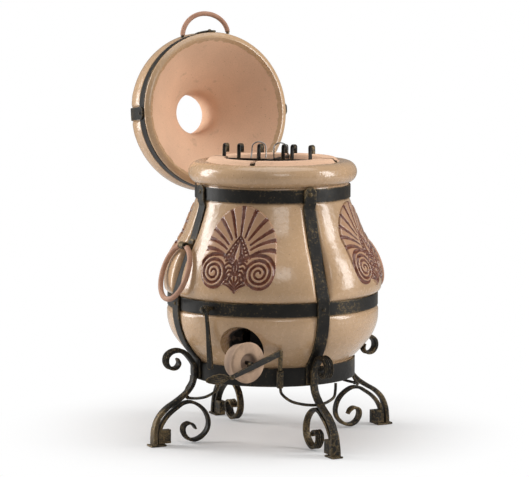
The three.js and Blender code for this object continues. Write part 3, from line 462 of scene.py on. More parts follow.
def frayed_mark(tree, title, where, scale, detail, low, high):
    """A mesh's own mark from 0 to 1, with its edge frayed by a cloud from low to high."""
    mark = add(tree, "ShaderNodeAttribute", attribute_name=title).outputs["Fac"]
    fray = graded(tree, cloud(tree, where, scale, detail), 0.3, 0.7, low, high)
    return number(tree, "ADD", mark, fray)


def finish_surface(tree, color, rough, height, lift, reach, **others):
    """The Principled surface of a material; the other values go on its own sockets."""
    bump = add(tree, "ShaderNodeBump", {"Strength": lift, "Distance": reach, "Height": height})
    skin = add(tree, "ShaderNodeBsdfPrincipled", {
        "Base Color": color, "Roughness": rough, "Normal": bump.outputs["Normal"],
        **{title.replace("_", " "): value for title, value in others.items()}})
    add(tree, "ShaderNodeOutputMaterial", {"Surface": skin.outputs[0]})


glaze_tan = (0.54, 0.35, 0.2, 1)
bare_clay = (0.74, 0.475, 0.315, 1)
inside_near_black = (0.018, 0.014, 0.011, 1)
fired, tree = shader("half_glazed_clay")
where = object_place(tree)
glazed_look = use_group(tree, clay_look, Vector=where, Clay=glaze_tan, Mottle=0.5, Specks=0.75)
bare_look = use_group(tree, clay_look, Vector=where, Clay=bare_clay, Mottle=0.35, Specks=0.6)
bare_share = graded(tree, frayed_mark(tree, "bare", where, 60, 4, -0.3, 0.3), 0.4, 0.6)
pits = number(tree, "MULTIPLY", cloud(tree, where, 260, 2), 0.35)
peel = number(tree, "ADD", glazed_look["Peel"], pits)
grain = number(tree, "MULTIPLY", bare_look["Grain"], 0.4)
gloss = graded(tree, glazed_look["Peel"], 0.3, 0.7, 0.17, 0.31)
# The inside and the fire hole's inner wall are darkened to near black, most lower down.
darkening_share = graded(tree, frayed_mark(tree, "darkening", where, 38, 4, -0.3, 0.3), 0.2, 0.9)
darkened_clay = mixed(tree, "MIX", darkening_share, bare_look["Color"], inside_near_black)
finish_surface(tree, mixed(tree, "MIX", bare_share, glazed_look["Color"], darkened_clay),
               blend_number(tree, bare_share, gloss, 0.84),
               blend_number(tree, bare_share, peel, grain), 0.36, 0.0016, Coat_Roughness=0.1,
               Coat_Weight=blend_number(tree, bare_share, 0.35, 0.0))


def marked(mesh, title, share):
    """Writes a value from 0 to 1 at each point of a mesh, under a title."""
    mark = mesh.attributes.new(title, "FLOAT", "POINT")
    mark.data.foreach_set("value", [share(*v.co) for v in mesh.vertices])


bed_heights = np.linspace(150, 577, 600)
bed_skin = np.array([min(strap_bed(z), panel_radius(z)) for z in bed_heights])


def skin_at(z):
    """Least radius of the pot's glazed skin at a height, nothing above the top band."""
    return float(np.interp(z, bed_heights, bed_skin)) if 149 < z < 577 else 0.0


def pot_bareness(x, y, z):
    """The inside, the lip and the wall of the fire hole have no glaze."""
    wide = math.hypot(x, y)
    return 1.0 if wide < skin_at(z) - 2 or wide < 139 or (z > 623.5 and wide < 150) else 0.0


def pot_darkening(x, y, z):
    """The inside is darkened nearly to black up to the neck, less towards the mouth, and so is the
    fire hole's inner part.
    """
    wide = math.hypot(x, y)
    if z < 187 or wide > skin_at(z) - 4:
        return 0.0
    return min(1, max(0, (204 - wide) / 14)) * min(1, max(0, (600 - z) / 60))


marked(pot, "bare", pot_bareness)
marked(pot, "darkening", pot_darkening)
fitted("glazed_pot", pot, fired, "stove", "glazed_clay", "pot")

# ------------------------------------------------------------------ palmettes
# A fan of eleven cuts over two volutes and a lotus bud stands in relief on each panel. It is
# pressed from the same clay, and a dark red-brown glaze is left in its cuts.
fan_shift = -2.2
relief_height = 4.6
cut_depth = 3.9
fan_outline = [
    (0, 538), (14, 536.5), (29, 530), (41, 522.5), (53, 512), (62, 501), (69.5, 489), (75, 477),
    (79, 465), (81, 453), (82, 443), (85, 430), (87.5, 415), (87, 398), (83.5, 383), (76, 371),
    (65, 364), (52, 361.5), (40, 364.5), (31, 371), (20, 370), (9, 361), (0, 353.5),
]
fan_cuts = [
    [(0, 541), (0, 500), (0, 473)], [(30, 533), (21, 508), (13, 480), (10, 470)],
    [(56, 514), (42, 498), (27, 478), (19, 465)], [(74, 490), (57, 480), (38, 466), (25, 455)],
    [(82, 466), (62, 462), (42, 454), (27, 445)], [(86, 442), (66, 444), (46, 441), (31, 434)],
]
arch_cuts = [[(0, 474), (8, 462), (16, 449), (23, 437), (29, 427)],
             [(0, 464), (6, 453), (12, 441), (17, 428)]]
hatch_cuts = [[(5, 456), (9, 460)], [(8, 449.5), (14, 453)], [(11.5, 442.5), (18, 446)],
              [(14, 436), (22, 439)], [(16.5, 429.5), (26, 432)]]
spear_cuts = [[(1.4, 466), (4.2, 448), (7.8, 431), (6, 426)], [(11.5, 434), (12.5, 426)]]
bud_cuts = [[(0, 422), (4.5, 414), (6.5, 405), (3.5, 397), (0, 395)], [(0, 416), (0, 401)],
            [(7, 421), (14, 424), (24, 421)], [(9, 414), (17, 417), (25, 410)],
            [(11, 406), (17, 407), (21, 400)], [(6, 397), (12, 399), (18, 394), (22, 388)],
            [(0, 391), (4, 394), (8, 395)], [(8, 390), (12, 386), (13, 377)],
            [(16, 391), (20, 385), (20, 377)], [(24, 383), (30, 377), (33, 373)],
            [(0, 357), (0, 388)], [(3, 362), (12, 369), (24, 374)], [(2, 366), (9, 373), (18, 380)],
            [(1, 372), (6, 380), (11, 389)]]
volute_eye, volute_turns, volute_pitch, volute_top = (52, 397), 3.2, 10.1, 36.3
volute_lead = 0.17


def volute_line():
    """The dark spiral of a volute: in from the fan's foot, over the top and down to its eye."""
    turn = np.linspace(-volute_lead, volute_turns, 130)
    angle = math.pi / 2 - turn * 2 * math.pi
    lead = np.maximum(-turn / volute_lead, 0) ** 1.4
    radius = volute_top - volute_pitch * np.maximum(turn, 0) + 11 * lead
    return np.stack([volute_eye[0] + radius * np.cos(angle),
                     volute_eye[1] + radius * np.sin(angle)], 1)


# Each cut is a line with its half width at its first and last point.
cut_lines = [(smooth_line(cut, 1.5), first_wide, last_wide) for cuts, first_wide, last_wide in (
    (fan_cuts, 3.1, 1.6), (arch_cuts, 1.3, 1.5), (hatch_cuts, 1.1, 1.7), (spear_cuts, 1.2, 2.2),
    (bud_cuts, 1.7, 1.6)) for cut in cuts]
cut_lines.append((volute_line(), 2.6, 1.5))


def line_distance(px, pz, line):
    """Distance of each point to a polyline, and the share of the way along it."""
    best = np.full(px.shape, 1e9)
    share = np.zeros(px.shape)
    for i, ((x0, z0), (x1, z1)) in enumerate(zip(line[:-1], line[1:])):
        dx, dz = x1 - x0, z1 - z0
        t = np.clip(((px - x0) * dx + (pz - z0) * dz) / (dx * dx + dz * dz + 1e-9), 0, 1)
        away = np.hypot(px - x0 - t * dx, pz - z0 - t * dz)
        share = np.where(away < best, (i + t) / (len(line) - 1), share)
        best = np.minimum(best, away)
    return best, share


def inside_of(px, pz, outline):
    hit = np.zeros(px.shape, bool)
    for (x0, z0), (x1, z1) in zip(outline, outline[1:] + outline[:1]):
        across = (z0 > pz) != (z1 > pz)
        with np.errstate(divide="ignore", invalid="ignore"):
            hit ^= across & (px < (x1 - x0) * (pz - z0) / (z1 - z0) + x0)
    return hit


mesh_step = 0.95
across = np.arange(-93, 93 + mesh_step, mesh_step)
up = np.arange(349, 541, mesh_step)
grid_x, grid_z = np.meshgrid(across, up)
half_x = np.abs(grid_x)
edge_line = [tuple(p) for p in smooth_line(fan_outline, 3)]
closed = edge_line + [(-x, z) for x, z in edge_line[::-1][1:-1]]
edge_away = line_distance(half_x, grid_z, edge_line)[0]
edge_away = np.where(inside_of(grid_x, grid_z, closed), edge_away, -edge_away)
stain = np.zeros(grid_x.shape)
dip = np.zeros(grid_x.shape)
for line, first_wide, last_wide in cut_lines:
    away, share = line_distance(half_x, grid_z, line)
    away = away / (first_wide + (last_wide - first_wide) * share)
    dip = np.maximum(dip, np.exp(-away ** 2))
    stain = np.maximum(stain, np.clip(1.75 - 0.8 * away, 0, 1))
swell = np.clip(edge_away / 3.2, 0, 1)
swell = np.sqrt(1 - (1 - swell) ** 2)
relief = relief_height * swell - cut_depth * dip * np.clip(edge_away / 1.2 + 0.8, 0, 1)
relief = np.where(edge_away > -0.4, np.maximum(relief, 0.35), -1.6)
stain = stain * np.clip(edge_away / 1.5 + 0.9, 0, 1)

palmette_clay, red_stain, dark_stain = ((0.47, 0.27, 0.155, 1), (0.21, 0.068, 0.034, 1),
                                       (0.115, 0.028, 0.012, 1))
stained, tree = shader("stained_glaze")
where = object_place(tree)
body_look = use_group(tree, clay_look, Vector=where, Clay=palmette_clay, Mottle=0.6, Specks=0.5)
share = graded(tree, frayed_mark(tree, "stain", where, 330, 2, -0.22, 0.22), 0.3, 0.62)
pooled = mixed(tree, "MIX", graded(tree, cloud(tree, where, 90, 2), 0.35, 0.65), dark_stain,
               red_stain)
finish_surface(tree, mixed(tree, "MIX", share, body_look["Color"], pooled), 0.2,
               body_look["Peel"], 0.3, 0.001, Coat_Weight=0.4, Coat_Roughness=0.1)

relief_top = np.array([read_line(upper_panel, z) for z in up])
full = np.array([panel_radius(z) for z in up])[:, None]
slope = np.gradient(relief_top, up)[:, None]
tilt = 1 / np.hypot(1, slope)
rise = grid_z - relief * slope * tilt
keep = edge_away > -2.4
whole = keep[:-1, :-1] & keep[1:, :-1] & keep[:-1, 1:] & keep[1:, 1:]
index = np.arange(grid_x.size).reshape(grid_x.shape)
quads = np.stack([index[:-1, :-1], index[:-1, 1:], index[1:, 1:], index[1:, :-1]], -1)[whole]
for k, side in enumerate(("front_right", "back_right", "back_left", "front_left")):
    angle = math.radians(45 + 90 * k + fan_shift) + grid_x / relief_top[:, None]
    face = grooved(angle, full, strap_bed(up)[:, None]) + relief * tilt
    verts = np.stack([face * np.sin(angle), -face * np.cos(angle), rise], -1).reshape(-1, 3)
    mesh = bpy.data.meshes.new("palmette")
    mesh.from_pydata(verts.tolist(), [], quads.tolist())
    mark = mesh.attributes.new("stain", "FLOAT", "POINT")
    mark.data.foreach_set("value", stain.reshape(-1).astype(np.float32))
    loose = bmesh.new()
    loose.from_mesh(mesh)
    bmesh.ops.delete(loose, geom=[v for v in loose.verts if not v.link_faces], context="VERTS")
    loose.to_mesh(mesh)
    loose.free()
    mesh.shade_smooth()
    fan = link("palmette", mesh)
    wall = fan.modifiers.new("body", "SOLIDIFY")
    wall.thickness, wall.offset = 3.5, -1
    fitted("palmette_" + side, baked(fan), stained, "stove", "glazed_clay")

# ------------------------------------------------------------------ bands
# Three hoops of flat iron are sprung round the clay: one under the belly, one on it and one
# under the collar. The bar is hammered, blacked with wax and rubbed back to a dull gold in
# places; its broad gold patches are also painted sheen.
def rounded(half_thick, half_wide, edge, flutes=0, flute_depth=0):
    """Points round a bar's section, [outward, across]; its outer face may be fluted."""
    edge = min(edge, half_thick * 0.98, half_wide * 0.98)
    points = []
    for n_way, x_way, start in ((1, 1, 0), (-1, 1, 90), (-1, -1, 180), (1, -1, 270)):
        for turn in (0, 30, 60, 90):
            angle = math.radians(start + turn)
            points.append((n_way * (half_thick - edge) + edge * math.cos(angle),
                           x_way * (half_wide - edge) + edge * math.sin(angle)))
    across = np.linspace(-half_wide + edge, half_wide - edge, 14)[1:-1]
    wave = 0.5 - 0.5 * np.cos(math.pi * flutes * (across / half_wide + 1)) if flutes else 0 * across
    return np.array(points + list(zip(half_thick - flute_depth * wave, across)))


def skinned(rings, loop=False):
    """A closed body of rings of points, capped at both ends unless it runs round."""
    rings = np.array(rings, float)
    count, size = rings.shape[:2]
    faces = []
    for i in range(count if loop else count - 1):
        n = (i + 1) % count
        faces += [(i * size + j, i * size + (j + 1) % size,
                   n * size + (j + 1) % size, n * size + j) for j in range(size)]
    if not loop:
        faces += [tuple(range(size)), tuple(range((count - 1) * size, count * size))]
    mesh = bpy.data.meshes.new("skinned")
    mesh.from_pydata(rings.reshape(-1, 3).tolist(), [], faces)
    return tidy(mesh)


def hammered(mesh, depth=0.35, size=16, seed=0):
    """Sinks a smooth body's skin a little here and there, as a hammer leaves it."""
    offset = Vector((seed * 31.7, seed * 17.3, 0))
    sink = []
    for v in mesh.vertices:
        spot = v.co + offset
        dent = noise.noise(spot / size) + 0.5 * noise.noise(spot / (size * 0.4))
        sink.append(v.normal * (-depth * min(1, max(0, 0.5 + 0.5 * dent))))
    for v, move in zip(mesh.vertices, sink):
        v.co += move
    return mesh


def hoop(radius, low, high, seed):
    section = rounded(band_thick / 2, (high - low) / 2, 1.5)
    wide = radius + band_thick / 2 + section[:, 0]
    rings = [np.stack([wide * math.sin(angle), -wide * math.cos(angle),
                       (low + high) / 2 + section[:, 1]], 1)
             for angle in np.linspace(0, 2 * math.pi, 217)[:-1]]
    return hammered(skinned(rings, loop=True), seed=seed)


# The gold is partly rubbed wear and partly painted sheen standing in for light on the iron.
iron_black, iron_brown, gold_rub_and_sheen = ((0.0055, 0.0048, 0.0036, 1), (0.016, 0.0135, 0.010, 1),
                                       (0.23, 0.165, 0.085, 1))
forged_look, given, result = node_group(
    "ShaderNodeTree", "forged_finish", [("Vector", "Vector", None), ("Wear", "Float", 0.5)],
    [("Color", "Color"), ("Roughness", "Float"), ("Height", "Float"), ("Gold_and_Sheen", "Float")])
tree = forged_look
# These broad patches give the iron's tone and also a painted soft sheen of gold.
patches = cloud(tree, given["Vector"], 14, 3)
scratch = cloud(tree, given["Vector"], 210, 4, 0.7)
dents = cloud(tree, given["Vector"], 55, 2)
specks = number(tree, "ADD", graded(tree, patches, 0.42, 0.7, -0.22, 0.24),
                graded(tree, scratch, 0.45, 0.75, -0.1, 0.6))
wear_and_sheen = number(tree, "ADD", specks, graded(tree, given["Wear"], 0, 1, -0.4, 0.4))
gold_and_sheen_share = graded(tree, wear_and_sheen, 0.12, 0.75)
black = mixed(tree, "MIX", graded(tree, patches, 0.3, 0.7), iron_black, iron_brown)
tree.links.new(mixed(tree, "MIX", gold_and_sheen_share, black, gold_rub_and_sheen), result["Color"])
tree.links.new(graded(tree, scratch, 0.3, 0.7, 0.36, 0.58), result["Roughness"])
tree.links.new(number(tree, "ADD", dents, number(tree, "MULTIPLY", scratch, 0.3)),
               result["Height"])
tree.links.new(gold_and_sheen_share, result["Gold_and_Sheen"])


def iron_paint(name, rub_and_sheen):
    """Blacked iron; its edges and high spots turn gold by the given share, partly rubbed wear and
    partly painted sheen and edge glints.
    """
    made, tree = shader(name)
    edge = add(tree, "ShaderNodeNewGeometry").outputs["Pointiness"]
    edge_rub_and_sheen = graded(tree, edge, 0.5, 0.54, rub_and_sheen, min(1, rub_and_sheen + 0.6))
    look = use_group(tree, forged_look, Vector=object_place(tree), Wear=edge_rub_and_sheen)
    finish_surface(tree, look["Color"], look["Roughness"], look["Height"], 0.5, 0.0009,
                   Specular_IOR_Level=0.3, Metallic=graded(tree, look["Gold_and_Sheen"], 0, 1, 0.15, 0.85))
    return made


band_iron = iron_paint("hammered_band_iron", 0.42)
for count, (title, radius, low, high) in enumerate(bands):
    fitted("hammered_band_" + title, hoop(radius, low, high, count), band_iron, "stove",
           "forged_iron", "band_" + title)

# ------------------------------------------------------------------ straps
# Four flat bars run down the clay in their beds, jog out over each band and end in clipped
# corners above the top one. The rear one stops short to leave room for the lid's hinge.
strap_thick, strap_wide = 5, 30
strap_clip = 7
quarters = list(enumerate(("front", "right", "back", "left")))


def line_normals(line):
    """Outward normals of a [u, z] line that runs upwards."""
    along = np.gradient(line, axis=0)
    along /= np.hypot(along[:, 0], along[:, 1])[:, None]
    return np.stack([along[:, 1], -along[:, 0]], 1)


def flat_bar(line, thick, wide, edge=1.5, flutes=0, flute_depth=0):
    """A bar along the [u, z] centre line; thick, wide and flute depth are numbers or arrays."""
    line = np.array(line, float)
    normal = line_normals(line)
    sizes = [np.broadcast_to(value, len(line)) for value in (thick, wide, flute_depth)]
    rings = []
    for (u, z), (nu, nz), t, w, f in zip(line, normal, *sizes):
        section = rounded(t / 2, w / 2, edge, flutes, f)
        rings.append(np.stack([section[:, 1], -(u + nu * section[:, 0]),
                               z + nz * section[:, 0]], 1))
    return skinned(rings)


def backed_line(back, thick, step):
    """Centre line of a bar whose back follows a list of [u, z] points."""
    line = smooth_line(back, step)
    return line + line_normals(line) * thick / 2


strap_iron = iron_paint("hammered_strap_iron", 0.5)
for k, title in quarters:
    back = [p for p in strap_back if title != "back" or p[1] < 541]
    line = backed_line(back, strap_thick, 4)
    clip = np.clip(line[:, 1] - (back[-1][1] - strap_clip), 0, strap_clip)
    wide = strap_wide - (0 if title == "back" else 2) * clip
    fitted("forged_strap_" + title, hammered(flat_bar(line, strap_thick, wide), seed=10 + k),
           strap_iron, "stove", "forged_iron", "strap_" + title, at=turned_about(90 * k))

# ------------------------------------------------------------------ rivets
# Domed rivets with a thin washer hold the straps to the bands. One head is made, and Geometry
# Nodes set a copy at each hole, each one turned and pressed a little differently.
rivet_radius, rivet_rise = 5, 3


def turned_body(profile, sides=40):
    """A body turned round the Y axis from [radius, outward] points that start and end on it."""
    return ring_mesh([[(r * math.cos(a), -u, r * math.sin(a)) for r, u in profile]
                      for a in np.linspace(0, 2 * math.pi, sides + 1)[:-1]])


# The tree that sets out copies of a piece on points, each one turned by the point's facing.
set_out, given, result = node_group(
    "GeometryNodeTree", "set_out",
    [("Geometry", "Geometry", None), ("Piece", "Object", None), ("Roll", "Float", None),
     ("Unevenness", "Float", None), ("Seed", "Int", None), ("Material", "Material", None)],
    [("Geometry", "Geometry")])
tree = set_out
piece = add(tree, "GeometryNodeObjectInfo", {"Object": given["Piece"]})
facing = add(tree, "GeometryNodeInputNamedAttribute", {"Name": "facing"},
             data_type="FLOAT_VECTOR")
smallest = add(tree, "ShaderNodeMath", {0: 1, 1: given["Unevenness"]}, operation="SUBTRACT")
shrink = add(tree, "FunctionNodeRandomValue",
             {2: smallest.outputs[0], 3: 1, "Seed": given["Seed"]}, data_type="FLOAT")
copies = add(tree, "GeometryNodeInstanceOnPoints",
             {"Points": given["Geometry"], "Instance": piece.outputs["Geometry"],
              "Rotation": facing.outputs["Attribute"], "Scale": shrink.outputs[1]})
less = add(tree, "ShaderNodeMath", {0: given["Roll"], 1: -1}, operation="MULTIPLY")
roll = add(tree, "FunctionNodeRandomValue",
           {2: less.outputs[0], 3: given["Roll"], "Seed": given["Seed"]}, data_type="FLOAT")
spin = add(tree, "ShaderNodeCombineXYZ", {"Y": roll.outputs[1]})
rolled = add(tree, "GeometryNodeRotateInstances",
             {"Instances": copies.outputs["Instances"], "Rotation": spin.outputs[0]})


def end_tree(tree, shape, given, result):
    """Ends a Geometry Nodes tree: its shape is made real and gets its material."""
    real = add(tree, "GeometryNodeRealizeInstances", {"Geometry": shape})
    coat = add(tree, "GeometryNodeSetMaterial",
               {"Geometry": real.outputs["Geometry"], "Material": given["Material"]})
    tree.links.new(coat.outputs["Geometry"], result[0])


end_tree(tree, rolled.outputs["Instances"], given, result)


def grown(mesh, tree, inputs):
    """The plain mesh that a Geometry Nodes tree makes of a mesh, with its inputs by name."""
    holder = link("holder", mesh)
    live = holder.modifiers.new("grown", "NODES")
    live.node_group = tree
    for socket in tree.interface.items_tree:
        if socket.in_out == "INPUT" and socket.name in inputs:
            live[socket.identifier] = inputs[socket.name]
    return baked(holder)


def set_out_copies(pattern, spots, material, seed, roll, unevenness, twist=0):
    """Copies of a mesh at spots [out, up, angle], each one turned by its angle and the twist."""
    points = bpy.data.meshes.new("spots")
    points.from_pydata([out(angle) * u + Vector((0, 0, z)) for u, z, angle in spots], [], [])
    facing = points.attributes.new("facing", "FLOAT_VECTOR", "POINT")
    facing.data.foreach_set("vector", [v for u, z, angle in spots
                                       for v in (0, 0, math.radians(angle + twist))])
    pattern = link("pattern", pattern)
    mesh = grown(points, set_out, {"Piece": pattern, "Roll": roll, "Unevenness": unevenness,
                                   "Seed": seed, "Material": material})
    bpy.data.objects.remove(pattern)
    mesh.set_sharp_from_angle(angle=math.radians(crease))
    return mesh


rivet_head = turned_body([
    (0, 0), (rivet_radius, 0), (rivet_radius, 0.45), (rivet_radius - 0.5, 0.75), (3.9, 0.8),
    (3.75, 1.3), (3.3, 2.0), (2.5, 2.55), (1.4, 2.9), (0, rivet_rise)])
# The rivets get more gold than the straps: partly rubbed wear, partly a painted glint on their
# domes.
rivet_iron = iron_paint("rivet_iron_rubbed_and_glinting", 0.72)
middle_lap, top_lap = 237.6 + strap_thick + gap, 175.3 + strap_thick + gap
rivet_spots = [(middle_lap, 317, 90 * k) for k in range(4)]
rivet_spots += [(top_lap, 561, angle) for angle in (0, 90, -90)]
fitted("cage_rivets", set_out_copies(rivet_head, rivet_spots, rivet_iron, 4, 0.5, 0.05),
       rivet_iron, "stove", "forged_iron", "rivet_middle_front", "rivet_middle_right",
       "rivet_middle_back", "rivet_middle_left", "rivet_top_front", "rivet_top_right",
       "rivet_top_left")

# ------------------------------------------------------------------ legs
# Each leg is one bar, forged into a fluted scroll against the strap, then an S that runs out
# and down to a flared foot. The foot's toe turns up where the smith spread it.
leg_thick, leg_wide = 10, 17
leg_path = [
    (238, 193), (234, 182), (242, 172), (256, 173), (265, 184), (264, 199), (252, 209), (234, 211),
    (219, 204), (206.5, 190), (197.8, 176), (196.6, 160), (197.6, 144), (204, 128), (219, 112),
    (241, 97), (265, 83), (284, 64), (293, 41), (295, 20), (295, 3.4),
]
foot_inner, foot_outer, foot_wide, foot_thick = 270, 308, 26, 5
leg_iron = iron_paint("hammered_leg_iron", 0.5)


def joined(*meshes):
    """Several bodies of one piece as a single mesh."""
    whole = bmesh.new()
    for mesh in meshes:
        whole.from_mesh(mesh)
    mesh = bpy.data.meshes.new("joined")
    whole.to_mesh(mesh)
    whole.free()
    mesh.set_sharp_from_angle(angle=math.radians(crease))
    return mesh


leg_line = smooth_line(leg_path, 3)
run = np.linspace(0, 1, len(leg_line))
leg_thicks = leg_thick * np.clip(0.5 + 3 * run, 0, 1)
leg_widths = np.interp(run, [0, 0.03, 0.3, 0.42, 0.84, 0.96, 1],
                       [17, 22, 21, leg_wide, leg_wide, 24, 25])
flute_fade = np.clip(run / 0.02, 0, 1) * np.clip((0.38 - run) / 0.1, 0, 1)
foot_line = [(foot_inner, 2.35), (foot_outer - 14, 2.35), (foot_outer - 6, 2.5),
             (foot_outer - 1.2, 3.2)]
for k, title in quarters:
    leg = flat_bar(leg_line, leg_thicks, leg_widths, 2.4, 4, 2.2 * flute_fade)
    foot = flat_bar(smooth_line(foot_line, 2.5), foot_thick - 0.4, foot_wide, 1.2)
    fitted("forged_leg_" + title, hammered(joined(leg, foot), 0.45, 14, 20 + k), leg_iron,
           "stove", "forged_iron", "leg_" + title, at=turned_about(90 * k))

# ------------------------------------------------------------------ scrolls
# A second bar is welded to the inside of each leg at a short block, follows it up, turns over
# and rolls in to a small eye under the pot. Its outer face is fluted where it rolls in.
scroll_thick, scroll_wide = 7.5, 16
scroll_path = [
    (283.5, 5.5), (283.4, 20), (281, 37), (272.5, 54), (259, 69), (241, 82), (223, 92), (204, 93),
    (184, 83), (169, 67), (162, 46), (166, 27), (181, 12.5), (199, 7), (215, 13), (224, 27),
    (223, 40), (212, 46), (201, 42), (194, 32),
]
block_inner, block_outer, block_wide, block_low, block_high = 256, 282, 15, 5.6, 36
scroll_line = smooth_line(scroll_path, 3)
run = np.linspace(1, 0, len(scroll_line))
scroll_thicks = scroll_thick * np.clip(0.55 + 4 * run, 0, 1)
scroll_widths = np.interp(run, [0, 0.03, 0.25, 0.4, 1], [16, 21, 20, scroll_wide, scroll_wide])
flute_fade = np.clip(run / 0.02, 0, 1) * np.clip((0.3 - run) / 0.1, 0, 1)
block_line = [((block_inner + block_outer) / 2, z) for z in np.linspace(block_low, block_high, 9)]
for k, title in quarters:
    curl = flat_bar(scroll_line, scroll_thicks, scroll_widths, 2.2, 4, 1.9 * flute_fade)
    heel = flat_bar(block_line, block_outer - block_inner, block_wide, 2.2)
    fitted("forged_scroll_" + title, hammered(joined(curl, heel), 0.45, 12, 30 + k), leg_iron,
           "stove", "forged_iron", "scroll_" + title, at=turned_about(90 * k))

# ------------------------------------------------------------------ braces
# A thin round rod hangs in a bow from the lower band on both sides of each leg and is welded
# to the leg's waist with a small bead.
brace_radius, waist_u, waist_z, waist_bead = 3.3, 212.6, 103.7, 4.6
brace_foot = 184
brace_spread = math.radians(22)


def round_rod(points, radius, sides=18, dome=True):
    """A round rod through 3-D points; radius is a number or one value for each point."""
    points = np.array(points, float)
    radius = np.array(np.broadcast_to(radius, len(points)), float)
    along = np.gradient(points, axis=0)
    along /= np.linalg.norm(along, axis=1)[:, None]
    if dome:
        first, last = radius[0], radius[-1]
        ends = [(0.0, 1.0), (0.35, 0.94), (0.7, 0.71), (0.95, 0.3)]
        head = [points[0] + along[0] * first * (1 - d) for d, w in ends[::-1]]
        tail = [points[-1] - along[-1] * last * (1 - d) for d, w in ends]
        radius = np.concatenate([[first * w for d, w in ends[::-1]], radius[1:-1],
                                 [last * w for d, w in ends]])
        points = np.vstack([head, points[1:-1], tail])
        along = np.vstack([[along[0]] * 4, along[1:-1], [along[-1]] * 4])
    up = Vector((0, 0, 1)) if abs(along[0][2]) < 0.9 else Vector((1, 0, 0))
    rings = []
    for point, way, r in zip(points, along, radius):
        axis = Vector(way)
        side = axis.cross(up).normalized()
        up = side.cross(axis).normalized()
        rings.append([tuple(Vector(point) + (side * math.cos(a) + up * math.sin(a)) * float(r))
                      for a in np.linspace(0, 2 * math.pi, sides + 1)[:-1]])
    return skinned(rings)


def ball(centre, radius, sides=28):
    shape = bmesh.new()
    bmesh.ops.create_uvsphere(shape, u_segments=sides, v_segments=sides // 2, radius=radius)
    mesh = bpy.data.meshes.new("ball")
    shape.to_mesh(mesh)
    shape.free()
    mesh.transform(Matrix.Translation(centre))
    mesh.shade_smooth()
    return mesh


end_x, end_u = brace_foot * math.sin(brace_spread), brace_foot * math.cos(brace_spread)
half_brace = [(end_u, 140.4, end_x), (end_u + 3, 127, end_x - 2), (190, 113, 54), (202, 106, 32),
              (waist_u - 2, waist_z, 12)]
brace_route = [(-x, -u, z) for u, z, x in half_brace] + [(0, -waist_u, waist_z)]
brace_route += [(x, -u, z) for u, z, x in half_brace[::-1]]
for k, title in quarters:
    bow = round_rod(smooth_line(brace_route, 4), brace_radius, dome=False)
    brace = joined(bow, ball((0, -waist_u, waist_z), waist_bead))
    fitted("bowed_brace_" + title, hammered(brace, 0.2, 9, 40 + k), leg_iron, "stove",
           "forged_iron", "brace_" + title, at=turned_about(90 * k))

# ------------------------------------------------------------------ cross and grate
# The cross under the pot and the grate inside it are plain bars, seen only from below or
# through the mouth. Their frame pieces keep their shape and get the soot of the fire.
sooty_iron = iron_paint("sooty_iron", 0.12)


def dress(material, *titles):
    """Gives frame pieces that keep their shape a material."""
    for title in titles:
        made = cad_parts[title].data.materials
        made.clear()
        made.append(material)


dress(sooty_iron, "base_cross", "fire_grate")

# ------------------------------------------------------------------ ring handles
# A round iron ring hangs in a rolled eye on each side strap. The eye is a short tube on a
# plate; the ring is wound from one side of the eye to the other with a strip of tan leather.
eye_u, eye_z, eye_radius, eye_length, eye_bore = 221.506, 444, 8.5, 24, 5.9
ring_radius, ring_rod, ring_lean = 62, 4, 19.5
ring_drop = -ring_radius + (eye_length / 2) ** 2 / (4 * ring_radius)
wrap_thick, wrap_turns, wrap_strip = 2, 78, 5.6
eye_iron = iron_paint("eye_iron_rubbed_and_sheened", 0.5)


def strap_face(z):
    low, high = strap_bed(z - 1) + gap, strap_bed(z + 1) + gap
    return strap_bed(z) + gap + strap_thick * math.hypot(1, (high - low) / 2)


def tube(radius, bore, length, centre):
    """A short tube across the front plane, with rounded rims."""
    half, edge = length / 2, 0.9
    profile = [(bore, -half + edge), (bore + edge, -half), (radius - edge, -half),
               (radius, -half + edge), (radius, 0), (radius, half - edge),
               (radius - edge, half), (bore + edge, half), (bore, half - edge), (bore, 0)]
    return skinned([[(centre[0] + x, centre[1] + r * math.cos(a), centre[2] + r * math.sin(a))
                     for r, x in profile] for a in np.linspace(0, 2 * math.pi, 49)[:-1]], loop=True)


# The tree that winds a strip round a path, from its start to its end.
wound, given, result = node_group(
    "GeometryNodeTree", "wound_strip",
    [("Geometry", "Geometry", None), ("Turns", "Float", 60.0), ("Steps", "Int", 14),
     ("Radius", "Float", 0.005), ("Strip Width", "Float", 0.005),
     ("Strip Thickness", "Float", 0.002), ("Material", "Material", None)],
    [("Geometry", "Geometry")])
tree = wound


def scaled(vector, amount):
    return add(wound, "ShaderNodeVectorMath", {0: vector, "Scale": amount},
               operation="SCALE").outputs[0]


tangent = add(tree, "GeometryNodeInputTangent").outputs[0]
normal = add(tree, "GeometryNodeInputNormal").outputs[0]
way = add(tree, "GeometryNodeSplineParameter").outputs["Factor"]
angle = number(tree, "MULTIPLY", number(tree, "MULTIPLY", way, given["Turns"]), 2 * math.pi)
across = add(tree, "ShaderNodeVectorMath", {0: tangent, 1: normal},
             operation="CROSS_PRODUCT").outputs[0]
outward = add(tree, "ShaderNodeVectorMath", {0: scaled(normal, number(tree, "COSINE", angle)),
                                             1: scaled(across, number(tree, "SINE", angle))},
              operation="ADD").outputs[0]
path = add(tree, "GeometryNodeMeshToCurve", {"Mesh": given["Geometry"]})
steps = number(tree, "MULTIPLY", given["Turns"], given["Steps"])
fine = add(tree, "GeometryNodeResampleCurve", {"Curve": path.outputs["Curve"], "Count": steps})
keep = add(tree, "GeometryNodeCaptureAttribute", {"Geometry": fine.outputs["Curve"]})
keep.capture_items.new("VECTOR", "Outward")
tree.links.new(outward, keep.inputs["Outward"])
